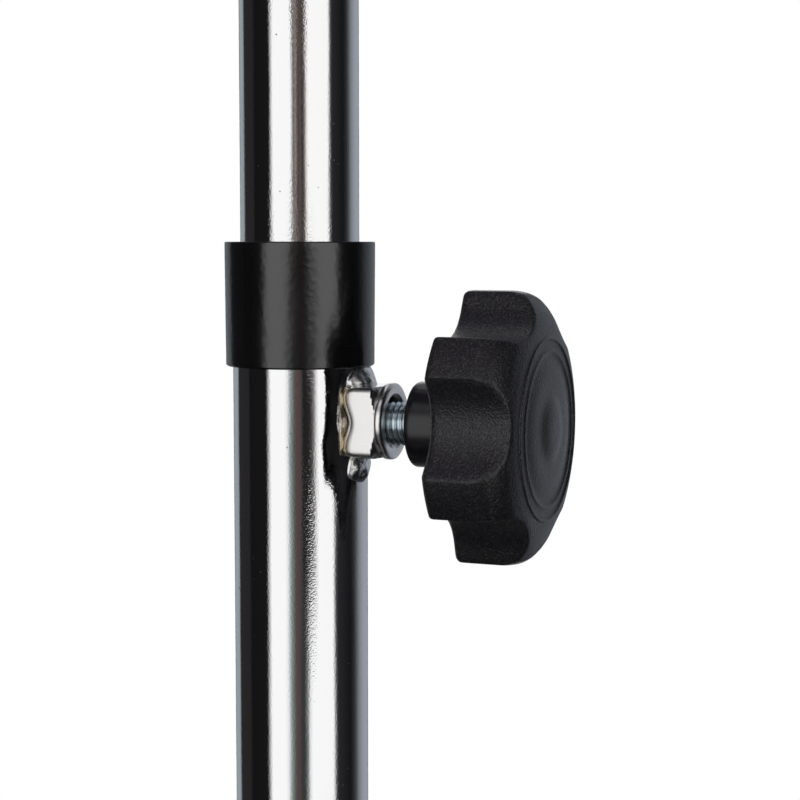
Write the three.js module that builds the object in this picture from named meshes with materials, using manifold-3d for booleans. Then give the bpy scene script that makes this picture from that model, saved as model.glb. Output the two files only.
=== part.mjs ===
// A folding orchestra music stand: a telescopic column with a screw clamp, a tilting sheet-metal desk
// and a tripod that folds as a three-legged umbrella linkage.
// Millimetres, +Z up, the player stands on the -Y side. The floor is z = 0.

import * as THREE from 'three';
import * as BufferGeometryUtils from 'three/addons/utils/BufferGeometryUtils.js';
import Module from 'manifold-3d';

const wasm = await Module();
wasm.setup();

// ---------------------------------------------------------------- driving dimensions

const degrees = Math.PI / 180;
const gap = 0.3;                     // clearance kept between pieces that touch
const pinGap = 0.3;                  // radial clearance of a pin or screw in its hole
const cutPast = 1;                   // how far a cutting shape reaches past what it cuts

const outerTube = { radius: 12.5, wall: 1.2, foot: 20 };
const innerTube = { wall: 1.2, foot: 200, slideGap: 0.3 };
const ferrule = { top: 700, height: 22.8, wall: 1.1, flare: 0.15, lip: 3, edge: 0.9 };

const clamp = {
  belowFerrule: 0.6, screwRadius: 4, nutWall: 2.7, nutHeight: 6.2, nutCorner: 0.7, collarHeight: 1.3,
  shoulder: 0.8, footHollow: 0.9, hollowRadius: 9.4, standOff: 4.5,
};
const clampPad = { trim: 0.4, length: 2.6, dome: 0.5 };
const weld = { wide: 7.4, proud: 2.6, rise: 3.1, sink: 0.2 };
const starKnob = {
  radius: 24.4, lobes: 6, lobeHalfAngle: 10.5 * degrees, valleyDepth: 5.2, edgeBlend: 1.1,
  restTurn: 4.5 * degrees, stemRadius: 7.8, stemLength: 9.3, stemTaper: 0.5, skirtWall: 2.6,
  dish: 6.5, dishDraft: 0.6, length: 25, rimRound: 5.6, roundEnd: 75 * degrees, edge: 0.4,
  faceFall: 0.95, ringRadius: 16, ringFall: 0.3, ridgeRadius: 13.5, ridgeProud: 0.55,
  ridgeHalf: 0.85, faceDish: 1.5, bossRadius: 5.6, bossProud: 1.5, boreDepth: 15, arcSteps: 2,
};
const smallKnob = {
  radius: 13, lobes: 5, lobeHalfAngle: 13 * degrees, valleyDepth: 2.6, edgeBlend: 0.7,
  restTurn: 0, stemRadius: 5.4, stemLength: 5.5, stemTaper: 0.3, skirtWall: 1.6,
  dish: 3.5, dishDraft: 0.4, length: 15.5, rimRound: 3.2, roundEnd: 75 * degrees, edge: 0.3,
  faceFall: 0.6, ringRadius: 8.6, ringFall: 0.2, ridgeRadius: 7, ridgeProud: 0.35,
  ridgeHalf: 0.6, faceDish: 0.9, bossRadius: 3, bossProud: 0.8, boreDepth: 9.5, arcSteps: 1,
};

const guideBush = { flange: 6, shank: 14, wall: 2, edge: 0.6 };
const endPlug = { flange: 3, shank: 12, wall: 2.4 };

const tripod = {
  legs: 3, firstLeg: -90 * degrees, spread: 55 * degrees, legClear: 0.6, strut: 145,
  hubPivot: 30, footRise: 7.281, tubeRadius: 8, tubeWall: 1.1, pinRadius: 3,
};
const strutPlate = { thick: 1.2, clear: 0.5, depth: 7, webClear: 7.5 };
const hub = { wall: 4.6, below: 14, above: 12, lugRadius: 7, rib: 1.4, edge: 1, shoulder: 1.5 };
const collar = {
  wall: 4.6, below: 9, above: 32, earThick: 3.4, earRadius: 8.4, earEnd: 70 * degrees,
  earRise: 13.4, screwRise: 20, bossProud: 4.6, bossWall: 3.1, knobStandOff: 1.5, edge: 1, shoulder: 2,
};
const rivet = { flange: 1.8, headHeight: 1.5, crown: 0.6, brim: 0.35 };
const foot = { wall: 2.2, sleeve: 26, beyondTube: 7, rib: 0.9, ribs: 2, edge: 0.7 };
const collarScrewRadius = 3;
const collarInsert = { wall: 1.6, length: 4.2 };
const collarPad = { trim: 0.3, length: 2.2, dome: 0.4 };

const tilt = {
  pivot: 950, neck: 20, lean: 25 * degrees, tongue: 10, brim: 1, flange: 4, edge: 0.8,
  shank: 25, boltRadius: 3, fibre: 1.4, fibreRadius: 9, headRadius: 7, headHeight: 3.2,
  washerRadius: 7.5, washerThick: 1.5, boltChamfer: 0.5,
};
const bracket = {
  thick: 2, clear: 19, wide: 40, tall: 84, corner: 8, earRadius: 11, earTall: 34, earWrap: 100 * degrees,
  rivetRadius: 2, rivetInset: 8, rivetHead: 4, rivetHeadHeight: 1.6,
};
const desk = {
  width: 500, height: 330, thick: 1.2, belowPivot: 88, ledge: 48, lip: 10, bend: 3.2,
  corner: 34, slotWide: 12, slotTall: 58, slotColumns: 9, slotRows: 3, slotPitch: 50,
  slotRise: 84, slotTop: 52,
};

const facets = { tube: 28, sleeve: 24, knob: 28, smallKnob: 14, leg: 16, small: 12, pin: 8 };

// ---------------------------------------------------------------- sizes that follow from them

const outerBore = outerTube.radius - outerTube.wall;
const innerRadius = outerBore - innerTube.slideGap;
const innerBore = innerRadius - innerTube.wall;
const innerTop = tilt.pivot - tilt.neck;
const outerTubeTop = ferrule.top - ferrule.lip - gap;
const sleeveBore = outerTube.radius + gap;
const nutHalf = clamp.screwRadius + clamp.nutWall;
const weldReach = nutHalf - weld.sink + weld.rise;
const screwHeight = ferrule.top - ferrule.height - clamp.belowFerrule - weldReach;
const clampReach = sleeveBore + clamp.nutHeight + clamp.standOff;

const strutRise = tripod.strut * Math.cos(tripod.spread);
const strutRun = tripod.strut * Math.sin(tripod.spread);
const collarPivot = tripod.hubPivot + 2 * strutRise;
const collarRadius = sleeveBore + collar.wall;
const pivotRadius = collarRadius + tripod.tubeRadius + tripod.legClear;
const legToFoot = (collarPivot - tripod.footRise) / Math.cos(tripod.spread);
const footReach = pivotRadius + legToFoot * Math.sin(tripod.spread);
const legLength = legToFoot - foot.beyondTube;
const legGap = tripod.tubeRadius + strutPlate.clear;
const columnSetback = footReach / 4;

const flangeRadius = innerRadius + tilt.brim;
const bracketBack = flangeRadius + bracket.clear;
const deskBack = bracketBack + bracket.thick + gap;

// ---------------------------------------------------------------- shape helpers

/** A closed three.js geometry as a solid that can be joined and cut. */
function solid(geometry) {
  const bare = geometry.clone();
  bare.deleteAttribute('normal');
  bare.deleteAttribute('uv');
  const merged = BufferGeometryUtils.mergeVertices(bare, 1e-4);
  const corners = merged.index.array;
  const triangles = [];
  for (let i = 0; i < corners.length; i += 3) {
    const [a, b, c] = corners.slice(i, i + 3);
    if (a !== b && b !== c && c !== a) triangles.push(a, b, c);
  }
  if (signedVolume(merged.attributes.position, triangles) < 0) triangles.reverse();
  return new wasm.Manifold(new wasm.Mesh({
    numProp: 3,
    vertProperties: new Float32Array(merged.attributes.position.array),
    triVerts: new Uint32Array(triangles),
  }));
}

/** Six times the volume inside the triangles, negative when they face inwards. */
function signedVolume(position, triangles) {
  const [a, b, c] = [new THREE.Vector3(), new THREE.Vector3(), new THREE.Vector3()];
  let total = 0;
  for (let i = 0; i < triangles.length; i += 3) {
    a.fromBufferAttribute(position, triangles[i]);
    b.fromBufferAttribute(position, triangles[i + 1]);
    c.fromBufferAttribute(position, triangles[i + 2]);
    total += a.dot(b.cross(c));
  }
  return total;
}

/** A solid back as a flat-shaded three.js geometry. */
function surface(body) {
  const mesh = body.getMesh();
  const points = new Float32Array(mesh.numVert * 3);
  for (let i = 0; i < mesh.numVert; i += 1) {
    for (let k = 0; k < 3; k += 1) points[3 * i + k] = mesh.vertProperties[mesh.numProp * i + k];
  }
  const geometry = new THREE.BufferGeometry();
  geometry.setAttribute('position', new THREE.BufferAttribute(points, 3));
  geometry.setIndex(new THREE.BufferAttribute(new Uint32Array(mesh.triVerts), 1));
  const flat = geometry.toNonIndexed();
  flat.computeVertexNormals();
  return flat;
}

/** A profile of [radius, height] points turned about +Z; it closes on the axis or on itself. */
function turned(profile, segments = facets.sleeve) {
  const points = profile.map(([radius, height]) => new THREE.Vector2(radius, height));
  return new THREE.LatheGeometry(points, segments).rotateX(Math.PI / 2);
}

/** A plain tube or ring about +Z. */
function ring(inner, outer, low, high, segments = facets.sleeve) {
  return turned([[inner, low], [outer, low], [outer, high], [inner, high], [inner, low]], segments);
}

/** A plain round bar about +Z. */
function bar(radius, low, high, segments = facets.small) {
  return turned([[0, low], [radius, low], [radius, high], [0, high]], segments);
}

/** A pin about +Z whose shank runs from low to high, with a crowned head outside each end. */
function headedPin(radius, headRadius, headHeight, low, high) {
  const crown = headRadius * rivet.crown;
  return turned([
    [0, low - headHeight],
    [crown, low - headHeight],
    [headRadius, low],
    [radius, low],
    [radius, high],
    [headRadius, high],
    [crown, high + headHeight],
    [0, high + headHeight],
  ], facets.pin);
}

/** A flat outline pushed along its own +Z from low to high. */
function plate(shape, low, high, curveSegments) {
  const options = { depth: high - low, bevelEnabled: false, curveSegments };
  return new THREE.ExtrudeGeometry(shape, options).translate(0, 0, low);
}

/** A rectangle from corner to corner with rounded corners, as an outline. */
function roundedRectangle(x0, y0, x1, y1, radius) {
  const shape = new THREE.Shape();
  shape.moveTo(x0 + radius, y0);
  shape.lineTo(x1 - radius, y0);
  shape.absarc(x1 - radius, y0 + radius, radius, -Math.PI / 2, 0);
  shape.lineTo(x1, y1 - radius);
  shape.absarc(x1 - radius, y1 - radius, radius, 0, Math.PI / 2);
  shape.lineTo(x0 + radius, y1);
  shape.absarc(x0 + radius, y1 - radius, radius, Math.PI / 2, Math.PI);
  shape.lineTo(x0, y0 + radius);
  shape.absarc(x0 + radius, y0 + radius, radius, Math.PI, 1.5 * Math.PI);
  return shape;
}

/** The outline of a belt round two discs of one radius, from (0, 0) to (0, length). */
function beltOutline(length, radius) {
  const shape = new THREE.Shape();
  shape.absarc(0, 0, radius, Math.PI, 2 * Math.PI);
  shape.absarc(0, length, radius, 0, Math.PI);
  shape.closePath();
  return shape;
}

/** Turns a geometry that was drawn about +Z so that its +Z points along +X. */
function alongX(geometry) {
  return geometry.rotateY(Math.PI / 2);
}

/** Turns a geometry so that its +Z points along the horizontal direction at this angle. */
function alongRadius(geometry, angle) {
  return geometry.rotateY(Math.PI / 2).rotateZ(angle);
}

/** Moves what was drawn in one leg's plane (x outwards, z up) round to that leg's direction. */
function toLeg(geometry, index) {
  return geometry.rotateZ(legDirection(index));
}

function legDirection(index) {
  return tripod.firstLeg + index * 2 * Math.PI / tripod.legs;
}

/** A pin lying across a leg's plane, along the plane's own Y, centred on the point (x, z). */
function acrossLeg(geometry, x, z) {
  return geometry.rotateX(Math.PI / 2).translate(x, 0, z);
}

const finishes = {
  chrome: { color: 0xc9ccd0, roughness: 0.12, metalness: 1 },
  zinc: { color: 0x9fb0bd, roughness: 0.3, metalness: 1 },
  steel: { color: 0xb4b6b8, roughness: 0.35, metalness: 1 },
  plastic: { color: 0x232426, roughness: 0.5, metalness: 0 },
  desk: { color: 0x1b1c1e, roughness: 0.6, metalness: 0.1 },
  rubber: { color: 0x17181a, roughness: 0.85, metalness: 0 },
  nylon: { color: 0xd9d6cb, roughness: 0.55, metalness: 0 },
  fibre: { color: 0x6d4a35, roughness: 0.8, metalness: 0 },
};

/** One named sub-part with a material of its own. */
function part(name, geometry, finish) {
  const mesh = new THREE.Mesh(geometry, new THREE.MeshStandardMaterial(finishes[finish]));
  mesh.name = name;
  return mesh;
}

/** Lays a side outline, drawn as (back, up), across the stand: its depth runs along +X. */
function acrossStand(geometry) {
  const basis = new THREE.Matrix4().makeBasis(
    new THREE.Vector3(0, 1, 0),
    new THREE.Vector3(0, 0, 1),
    new THREE.Vector3(1, 0, 0),
  );
  return geometry.applyMatrix4(basis);
}

/** Points of an arc in a turned profile, as [radius, height] pairs. */
function profileArc(radius0, height0, size, from, to, steps) {
  return Array.from({ length: steps + 1 }, (_, i) => {
    const angle = from + (to - from) * i / steps;
    return [radius0 + size * Math.cos(angle), height0 + size * Math.sin(angle)];
  });
}

// ---------------------------------------------------------------- the column

const clampBore = clamp.screwRadius + pinGap;

function columnTube() {
  const tube = solid(ring(outerBore, outerTube.radius, outerTube.foot, outerTubeTop, facets.tube));
  const screwHole = bar(clampBore, 0, 2 * outerTube.radius);
  return surface(tube.subtract(solid(alongX(screwHole).translate(0, 0, screwHeight))));
}

/** Moulded sleeve that caps the outer tube and closes round the inner one. */
function ferruleSleeve() {
  const { top, height, wall, flare, lip, edge } = ferrule;
  const radius = sleeveBore + wall;
  const low = top - height;
  return surface(solid(turned([
    [sleeveBore, low],
    [radius - flare - edge / 2, low],
    [radius - flare, low + edge / 2],
    ...profileArc(radius - edge, top - edge, edge, 0, Math.PI / 2, 2),
    [innerRadius + gap, top],
    [innerRadius + gap, top - lip],
    [sleeveBore, top - lip],
    [sleeveBore, low],
  ], facets.tube)));
}

/** Square weld nut on the side of the tube, with its two weld beads, drawn about the tube's axis. */
function clampNut() {
  const { nutHeight, nutCorner, collarHeight, shoulder, footHollow, hollowRadius } = clamp;
  const end = sleeveBore + nutHeight;
  const square = roundedRectangle(-nutHalf, -nutHalf, nutHalf, nutHalf, nutCorner);
  const block = solid(alongX(plate(square, sleeveBore / 2, end, 2)));
  const turnedEnd = solid(alongX(turned([
    [0, 0],
    [2 * nutHalf, 0],
    [2 * nutHalf, end - collarHeight - 2 * shoulder],
    [nutHalf + nutCorner / 2, end - collarHeight],
    [nutHalf, end - collarHeight],
    [nutHalf, end - nutCorner],
    [nutHalf - nutCorner, end],
    [0, end],
  ], facets.leg)));
  const hollow = bar(hollowRadius, -2 * nutHalf, 2 * nutHalf, facets.sleeve).rotateX(Math.PI / 2)
    .translate(sleeveBore + footHollow - hollowRadius, 0, 0);
  const tubeRoom = bar(sleeveBore, -2 * nutHalf, 2 * nutHalf, facets.tube);
  const threadHole = alongX(bar(clampBore, 0, end + cutPast));
  let nut = block.intersect(turnedEnd).subtract(solid(hollow));
  for (const side of [-1, 1]) {
    const bead = new THREE.SphereGeometry(1, 8, 5);
    bead.scale(weld.proud, weld.wide, weld.rise);
    bead.translate(sleeveBore, 0, side * (nutHalf - weld.sink));
    nut = nut.add(solid(bead));
  }
  return surface(nut.subtract(solid(tubeRoom)).subtract(solid(threadHole)));
}

/** Cup-shaped plug in the lower end of the outer tube; the lowered mast stands on it. */
function columnEndPlug() {
  const shankRadius = outerBore - gap;
  const flangeLow = outerTube.foot - gap - endPlug.flange;
  const top = outerTube.foot + endPlug.shank;
  return surface(solid(turned([
    [0, top],
    [shankRadius, top],
    [shankRadius, outerTube.foot - gap],
    [outerTube.radius, outerTube.foot - gap],
    [outerTube.radius, flangeLow],
    [shankRadius - endPlug.wall, flangeLow],
    [shankRadius - endPlug.wall, top - endPlug.wall],
    [0, top - endPlug.wall],
  ])));
}

// ---------------------------------------------------------------- star knobs

const starMargin = 0.05;             // the turned body stands this far outside the star's outline

/** Outline of a star grip: outer arcs, rounded edges and hollow valleys, one of them towards -Y. */
function starOutline({ radius, lobes, lobeHalfAngle, valleyDepth, edgeBlend, restTurn }) {
  const pitch = 2 * Math.PI / lobes;
  const halfChordAngle = pitch / 2 - lobeHalfAngle;
  const halfChord = radius * Math.sin(halfChordAngle);
  const chordDistance = radius * Math.cos(halfChordAngle);
  const floor = radius - valleyDepth;
  const sag = chordDistance - floor;
  const valleyRadius = (halfChord ** 2 + sag ** 2) / (2 * sag);
  const valleyCentre = floor + valleyRadius;
  const blendCentre = radius - edgeBlend;
  const reach = valleyRadius + edgeBlend;
  const turn = Math.acos(
    (blendCentre ** 2 + valleyCentre ** 2 - reach ** 2) / (2 * blendCentre * valleyCentre));
  const shape = new THREE.Shape();
  for (let i = 0; i < lobes; i += 1) {
    const valley = i * pitch - Math.PI / 2 - restTurn;
    const vx = valleyCentre * Math.cos(valley);
    const vy = valleyCentre * Math.sin(valley);
    const before = valley - turn;
    const after = valley + turn;
    const [bx, by] = [blendCentre * Math.cos(before), blendCentre * Math.sin(before)];
    const [ax, ay] = [blendCentre * Math.cos(after), blendCentre * Math.sin(after)];
    const toBefore = Math.atan2(by - vy, bx - vx);
    const toAfter = Math.atan2(ay - vy, ax - vx);
    shape.absarc(bx, by, edgeBlend, before, toBefore + Math.PI, false);
    shape.absarc(vx, vy, valleyRadius, toBefore, toAfter, true);
    shape.absarc(ax, ay, edgeBlend, toAfter + Math.PI, after, false);
    shape.absarc(0, 0, radius, after, valley + pitch - turn, false);
  }
  return shape;
}

/** Section of a star knob from the end of its stem (height 0) to the middle of its face. */
function knobSection(size, boreRadius) {
  const { stemRadius, stemLength, length, edge, rimRound, roundEnd, ridgeRadius, ridgeHalf } = size;
  const faceHeight = length - size.ridgeProud;
  const gripRadius = size.radius + starMargin;
  const dishRadius = size.radius - size.valleyDepth - size.skirtWall;
  const dishFloor = stemLength + size.dish;
  const roundCentre = faceHeight - size.faceFall - rimRound * Math.sin(roundEnd);
  const hollow = faceHeight - size.faceDish;
  return [
    [0, size.boreDepth],
    [boreRadius, size.boreDepth],
    [boreRadius, 0],
    [stemRadius - edge, 0],
    [stemRadius, edge],
    [stemRadius - size.stemTaper, dishFloor],
    [dishRadius - size.dishDraft, dishFloor],
    [dishRadius, stemLength],
    [gripRadius - edge, stemLength],
    [gripRadius, stemLength + edge],
    ...profileArc(gripRadius - rimRound, roundCentre, rimRound, 0, roundEnd, 3),
    [size.ringRadius, faceHeight - size.ringFall],
    [ridgeRadius + ridgeHalf, faceHeight],
    [ridgeRadius, length],
    [ridgeRadius - ridgeHalf, faceHeight],
    [(ridgeRadius + size.bossRadius) / 2, hollow],
    [size.bossRadius, hollow],
    [0, hollow + size.bossProud],
  ];
}

/** A whole star knob about +Z, the end of its stem at height 0. */
function knobBody(size, boreRadius, segments) {
  const { stemRadius, stemLength, dish, length } = size;
  const body = solid(turned(knobSection(size, boreRadius), segments));
  const star = solid(plate(starOutline(size), stemLength - cutPast, length + cutPast, size.arcSteps));
  const stem = solid(bar(stemRadius + starMargin, -cutPast, stemLength + dish, segments));
  return body.intersect(star.add(stem));
}

/** Threaded rod with a chamfered tip, drawn about +Z from low to high. */
function clampRod(radius, low, high) {
  const tip = radius / 5;
  const section = [[0, low], [radius - tip, low], [radius, low + tip], [radius, high], [0, high]];
  return turned(section, facets.small);
}

/** Pressure pad: a short button with a slightly domed outer end. */
function pressurePad(screwRadius, { trim, length, dome }, low) {
  const radius = screwRadius - trim;
  return turned([
    [0, low],
    [radius, low],
    [radius, low + length - dome],
    [radius - dome, low + length],
    [0, low + length],
  ], facets.small);
}

/** Everything of the column's screw clamp, drawn along +X from the column's axis. */
function columnClamp() {
  const padStart = innerRadius + gap;
  const screwStart = padStart + clampPad.length + gap;
  const screwEnd = clampReach + starKnob.boreDepth - gap;
  const group = new THREE.Group();
  const rod = clampRod(clamp.screwRadius, screwStart, screwEnd);
  const grip = knobBody(starKnob, clampBore, facets.knob).translate([0, 0, clampReach]);
  group.add(
    part('clamp_pad', alongX(pressurePad(clamp.screwRadius, clampPad, padStart)), 'nylon'),
    part('clamp_screw', alongX(rod), 'zinc'),
    part('clamp_knob', alongX(surface(grip)), 'plastic'),
  );
  group.position.z = screwHeight;
  return group;
}

// ---------------------------------------------------------------- the mast

/** Flanged bush that centres the lower end of the inner tube in the outer one. */
function mastGuideBush() {
  const shankRadius = innerBore - gap;
  const bore = shankRadius - guideBush.wall;
  const top = innerTube.foot + guideBush.shank;
  const flangeTop = innerTube.foot - gap;
  const rimRadius = outerBore - gap;
  return surface(solid(turned([
    [bore, flangeTop - guideBush.flange],
    [rimRadius - guideBush.edge, flangeTop - guideBush.flange],
    [rimRadius, flangeTop - guideBush.flange + guideBush.edge],
    [rimRadius, flangeTop],
    [shankRadius, flangeTop],
    [shankRadius, top],
    [bore, top],
    [bore, flangeTop - guideBush.flange],
  ])));
}

/** Plug in the mast's top with the flat tongue that the desk's bracket straddles. */
function tiltHead() {
  const { flange, shank, edge, tongue, pivot, boltRadius } = tilt;
  const flangeLow = innerTop + gap;
  const flangeTop = flangeLow + flange;
  const plug = solid(turned([
    [0, innerTop - shank],
    [innerBore - gap - edge, innerTop - shank],
    [innerBore - gap, innerTop - shank + edge],
    [innerBore - gap, flangeLow],
    [flangeRadius, flangeLow],
    [flangeRadius, flangeTop - edge],
    [flangeRadius - edge, flangeTop],
    [0, flangeTop],
  ]));
  const tongueShape = new THREE.Shape();
  tongueShape.moveTo(-innerRadius, flangeTop - edge);
  tongueShape.lineTo(innerRadius, flangeTop - edge);
  tongueShape.absarc(0, pivot, innerRadius, 0, Math.PI);
  const blade = solid(acrossStand(plate(tongueShape, -tongue / 2, tongue / 2, 6)));
  const hole = alongX(bar(boltRadius + pinGap, -tongue, tongue));
  return surface(plug.add(blade).subtract(solid(hole.translate(0, 0, pivot))));
}

function mast() {
  const group = new THREE.Group();
  const tube = ring(innerBore, innerRadius, innerTube.foot, innerTop, facets.tube);
  group.add(part('guide_bush', mastGuideBush(), 'nylon'));
  group.add(part('mast_tube', surface(solid(tube)), 'chrome'));
  group.add(part('tilt_head', tiltHead(), 'plastic'));
  for (const [name, side] of [['left', -1], ['right', 1]]) {
    const inner = tilt.tongue / 2 + gap;
    const washer = ring(tilt.boltRadius + pinGap, tilt.fibreRadius, inner, inner + tilt.fibre,
      facets.small);
    const placed = alongX(washer).scale(side, 1, 1).translate(0, 0, tilt.pivot);
    group.add(part(`friction_washer_${name}`, surface(solid(placed)), 'fibre'));
  }
  return group;
}

// ---------------------------------------------------------------- the desk, about its tilt axis

const earInner = tilt.tongue / 2 + tilt.fibre + 2 * gap;
const earOuter = earInner + bracket.thick;
const rivetRows = [-1, 1];

/** Steel bracket: a strip against the desk's back with two ears to the tilt bolt. */
function deskBracket() {
  const front = -bracketBack - bracket.thick;
  const strip = plate(
    roundedRectangle(
      -bracket.wide / 2, -bracket.tall / 2, bracket.wide / 2, bracket.tall / 2, bracket.corner),
    -bracket.thick, 0, 4).rotateX(Math.PI / 2).translate(0, front, 0);
  const ear = new THREE.Shape();
  ear.moveTo(front + gap, -bracket.earTall / 2);
  ear.absarc(0, 0, bracket.earRadius, -bracket.earWrap, bracket.earWrap);
  ear.lineTo(front + gap, bracket.earTall / 2);
  let body = solid(strip);
  for (const low of [-earOuter, earInner]) {
    body = body.add(solid(acrossStand(plate(ear, low, low + bracket.thick, 6))));
  }
  const boltHole = alongX(bar(tilt.boltRadius + pinGap, -2 * earOuter, 2 * earOuter));
  body = body.subtract(solid(boltHole));
  return surface(rivetPlaces().reduce((left, place) => left.subtract(rivetHole(place)), body));
}

/** The four places, as [x, z], where rivets join bracket and desk. */
function rivetPlaces() {
  return rivetRows.flatMap((row) => rivetRows.map((column) => [
    column * (bracket.wide / 2 - bracket.rivetInset),
    row * (bracket.tall / 2 - bracket.rivetInset),
  ]));
}

function rivetHole([x, z]) {
  const hole = bar(bracket.rivetRadius + pinGap, 0, 2 * bracketBack, facets.pin);
  return solid(hole.rotateX(Math.PI / 2).translate(x, 0, z));
}

/** A rivet through desk and bracket, a low head on each side. */
function deskRivet([x, z]) {
  const { rivetRadius, rivetHead, rivetHeadHeight } = bracket;
  const body = headedPin(
    rivetRadius, rivetHead, rivetHeadHeight, bracketBack - gap, deskBack + desk.thick + gap);
  return surface(solid(body.rotateX(Math.PI / 2).translate(x, 0, z)));
}

/** Side outline of the bent sheet, as (back, up): plate, ledge and lip in one thickness. */
function deskSection() {
  const { thick, bend, belowPivot, ledge, lip, height } = desk;
  const back = -deskBack;
  const front = back - thick;
  const under = -belowPivot;
  const lipFront = front - ledge;
  const top = under + height;
  const lipTop = under + thick + lip;
  const inside = bend - thick;
  const shape = new THREE.Shape();
  shape.moveTo(back, top);
  shape.absarc(back - bend, under + bend, bend, 0, -Math.PI / 2, true);
  shape.absarc(lipFront + bend, under + bend, bend, -Math.PI / 2, -Math.PI, true);
  shape.lineTo(lipFront, lipTop);
  shape.lineTo(lipFront + thick, lipTop);
  shape.absarc(lipFront + bend, under + bend, inside, Math.PI, 1.5 * Math.PI, false);
  shape.absarc(back - bend, under + bend, inside, -Math.PI / 2, 0, false);
  shape.lineTo(front, top);
  return shape;
}

/** Stadium slots in rows and columns, left out where the bracket sits behind them. */
function deskSlots() {
  const top = desk.height - desk.belowPivot;
  const reach = (desk.slotTall - desk.slotWide) / 2;
  const slots = [];
  for (let row = 0; row < desk.slotRows; row += 1) {
    const z = top - desk.slotTop - row * desk.slotRise;
    for (let column = 0; column < desk.slotColumns; column += 1) {
      const x = (column - (desk.slotColumns - 1) / 2) * desk.slotPitch;
      const besideBracket = Math.abs(x) - desk.slotWide / 2 > bracket.wide / 2;
      const aboveBracket = z - desk.slotTall / 2 > bracket.tall / 2;
      if (!besideBracket && !aboveBracket) continue;
      const outline = beltOutline(2 * reach, desk.slotWide / 2);
      const cutter = plate(outline, 0, 2 * deskBack, 2).translate(0, -reach, 0);
      slots.push(solid(cutter.rotateX(Math.PI / 2).translate(x, 0, z)));
    }
  }
  return slots;
}

/** Bent sheet-metal desk with rounded top corners. */
function deskPlate() {
  const half = desk.width / 2;
  const top = desk.height - desk.belowPivot;
  const bent = solid(acrossStand(plate(deskSection(), -half, half, 2)));
  const outline = new THREE.Shape();
  outline.moveTo(-half, -2 * desk.belowPivot);
  outline.lineTo(half, -2 * desk.belowPivot);
  outline.absarc(half - desk.corner, top - desk.corner, desk.corner, 0, Math.PI / 2);
  outline.absarc(-half + desk.corner, top - desk.corner, desk.corner, Math.PI / 2, Math.PI);
  const depth = 2 * (deskBack + desk.ledge);
  let sheet = bent.intersect(solid(plate(outline, 0, depth, 4).rotateX(Math.PI / 2)));
  for (const slot of deskSlots()) sheet = sheet.subtract(slot);
  return surface(rivetPlaces().reduce((left, place) => left.subtract(rivetHole(place)), sheet));
}

/** Bolt through ears and tongue: a domed head on the left, its thread in the knob on the right. */
function tiltBolt() {
  const { boltRadius, boltChamfer, headRadius, headHeight, washerThick } = tilt;
  const head = earOuter + gap;
  const end = head + gap + washerThick + smallKnob.boreDepth;
  return surface(solid(alongX(turned([
    [0, -head - headHeight],
    [headRadius * rivet.crown, -head - headHeight * 0.85],
    [headRadius, -head - headHeight * rivet.brim],
    [headRadius, -head],
    [boltRadius, -head],
    [boltRadius, end - boltChamfer],
    [boltRadius - boltChamfer, end],
    [0, end],
  ], facets.small))));
}

/** The desk and what tilts with it; its own origin is the middle of the tilt axis. */
function deskGroup() {
  const group = new THREE.Group();
  const washerLow = earOuter + gap;
  const washer = ring(tilt.boltRadius + pinGap, tilt.washerRadius, washerLow,
    washerLow + tilt.washerThick, facets.leg);
  const knob = knobBody(smallKnob, tilt.boltRadius + pinGap, facets.smallKnob)
    .translate([0, 0, washerLow + tilt.washerThick + gap]);
  group.add(
    part('desk_plate', deskPlate(), 'desk'),
    part('desk_bracket', deskBracket(), 'desk'),
    part('tilt_bolt', tiltBolt(), 'zinc'),
    part('tilt_washer', surface(solid(alongX(washer))), 'zinc'),
    part('tilt_knob', alongX(surface(knob)), 'plastic'),
  );
  rivetPlaces().forEach((place, index) => {
    group.add(part(`desk_rivet_${index + 1}`, deskRivet(place), 'steel'));
  });
  group.position.z = tilt.pivot;
  group.rotation.x = -tilt.lean;
  return group;
}

// ---------------------------------------------------------------- the folding tripod

const backward = Math.PI / 2;        // the collar's clamp points away from the player
const collarInsertRadius = collarScrewRadius + collarInsert.wall;
const bossReach = collarRadius + collar.bossProud;

/** A rivet across a leg's plane: heads outside grips that reach this far from the middle. */
function legRivet(reach) {
  const headRadius = tripod.pinRadius + rivet.flange;
  return headedPin(tripod.pinRadius, headRadius, rivet.headHeight, -reach - gap, reach + gap);
}

/** A hole across a leg's plane for the pin at (x, z). */
function pinHole(x, z) {
  const reach = 2 * (legGap + collar.earThick);
  const hole = bar(tripod.pinRadius + pinGap, -reach, reach, facets.pin);
  return solid(acrossLeg(hole, x, z));
}

/** A moulded sleeve that fits round the outer tube, bore included, with a shoulder at its top. */
function columnSleeve(wall, low, high, edge, shoulder) {
  const radius = sleeveBore + wall;
  return solid(turned([
    [sleeveBore / 2, low],
    [radius - edge, low],
    [radius, low + edge],
    [radius, high - shoulder],
    [radius - shoulder, high],
    [sleeveBore / 2, high],
    [sleeveBore / 2, low],
  ]));
}

/** The room that the outer tube takes in what fits round it. */
function tubeBore(low, high) {
  return solid(bar(sleeveBore, low - cutPast, high + cutPast, facets.sleeve));
}

/** Joins a plate, drawn in the plane of each leg from start to end across it, to a body. */
function withPlates(body, shape, start, end) {
  let joined = body;
  for (let i = 0; i < tripod.legs; i += 1) {
    const block = plate(shape, start, end, 3).rotateX(Math.PI / 2);
    joined = joined.add(solid(toLeg(block, i)));
  }
  return joined;
}

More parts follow.
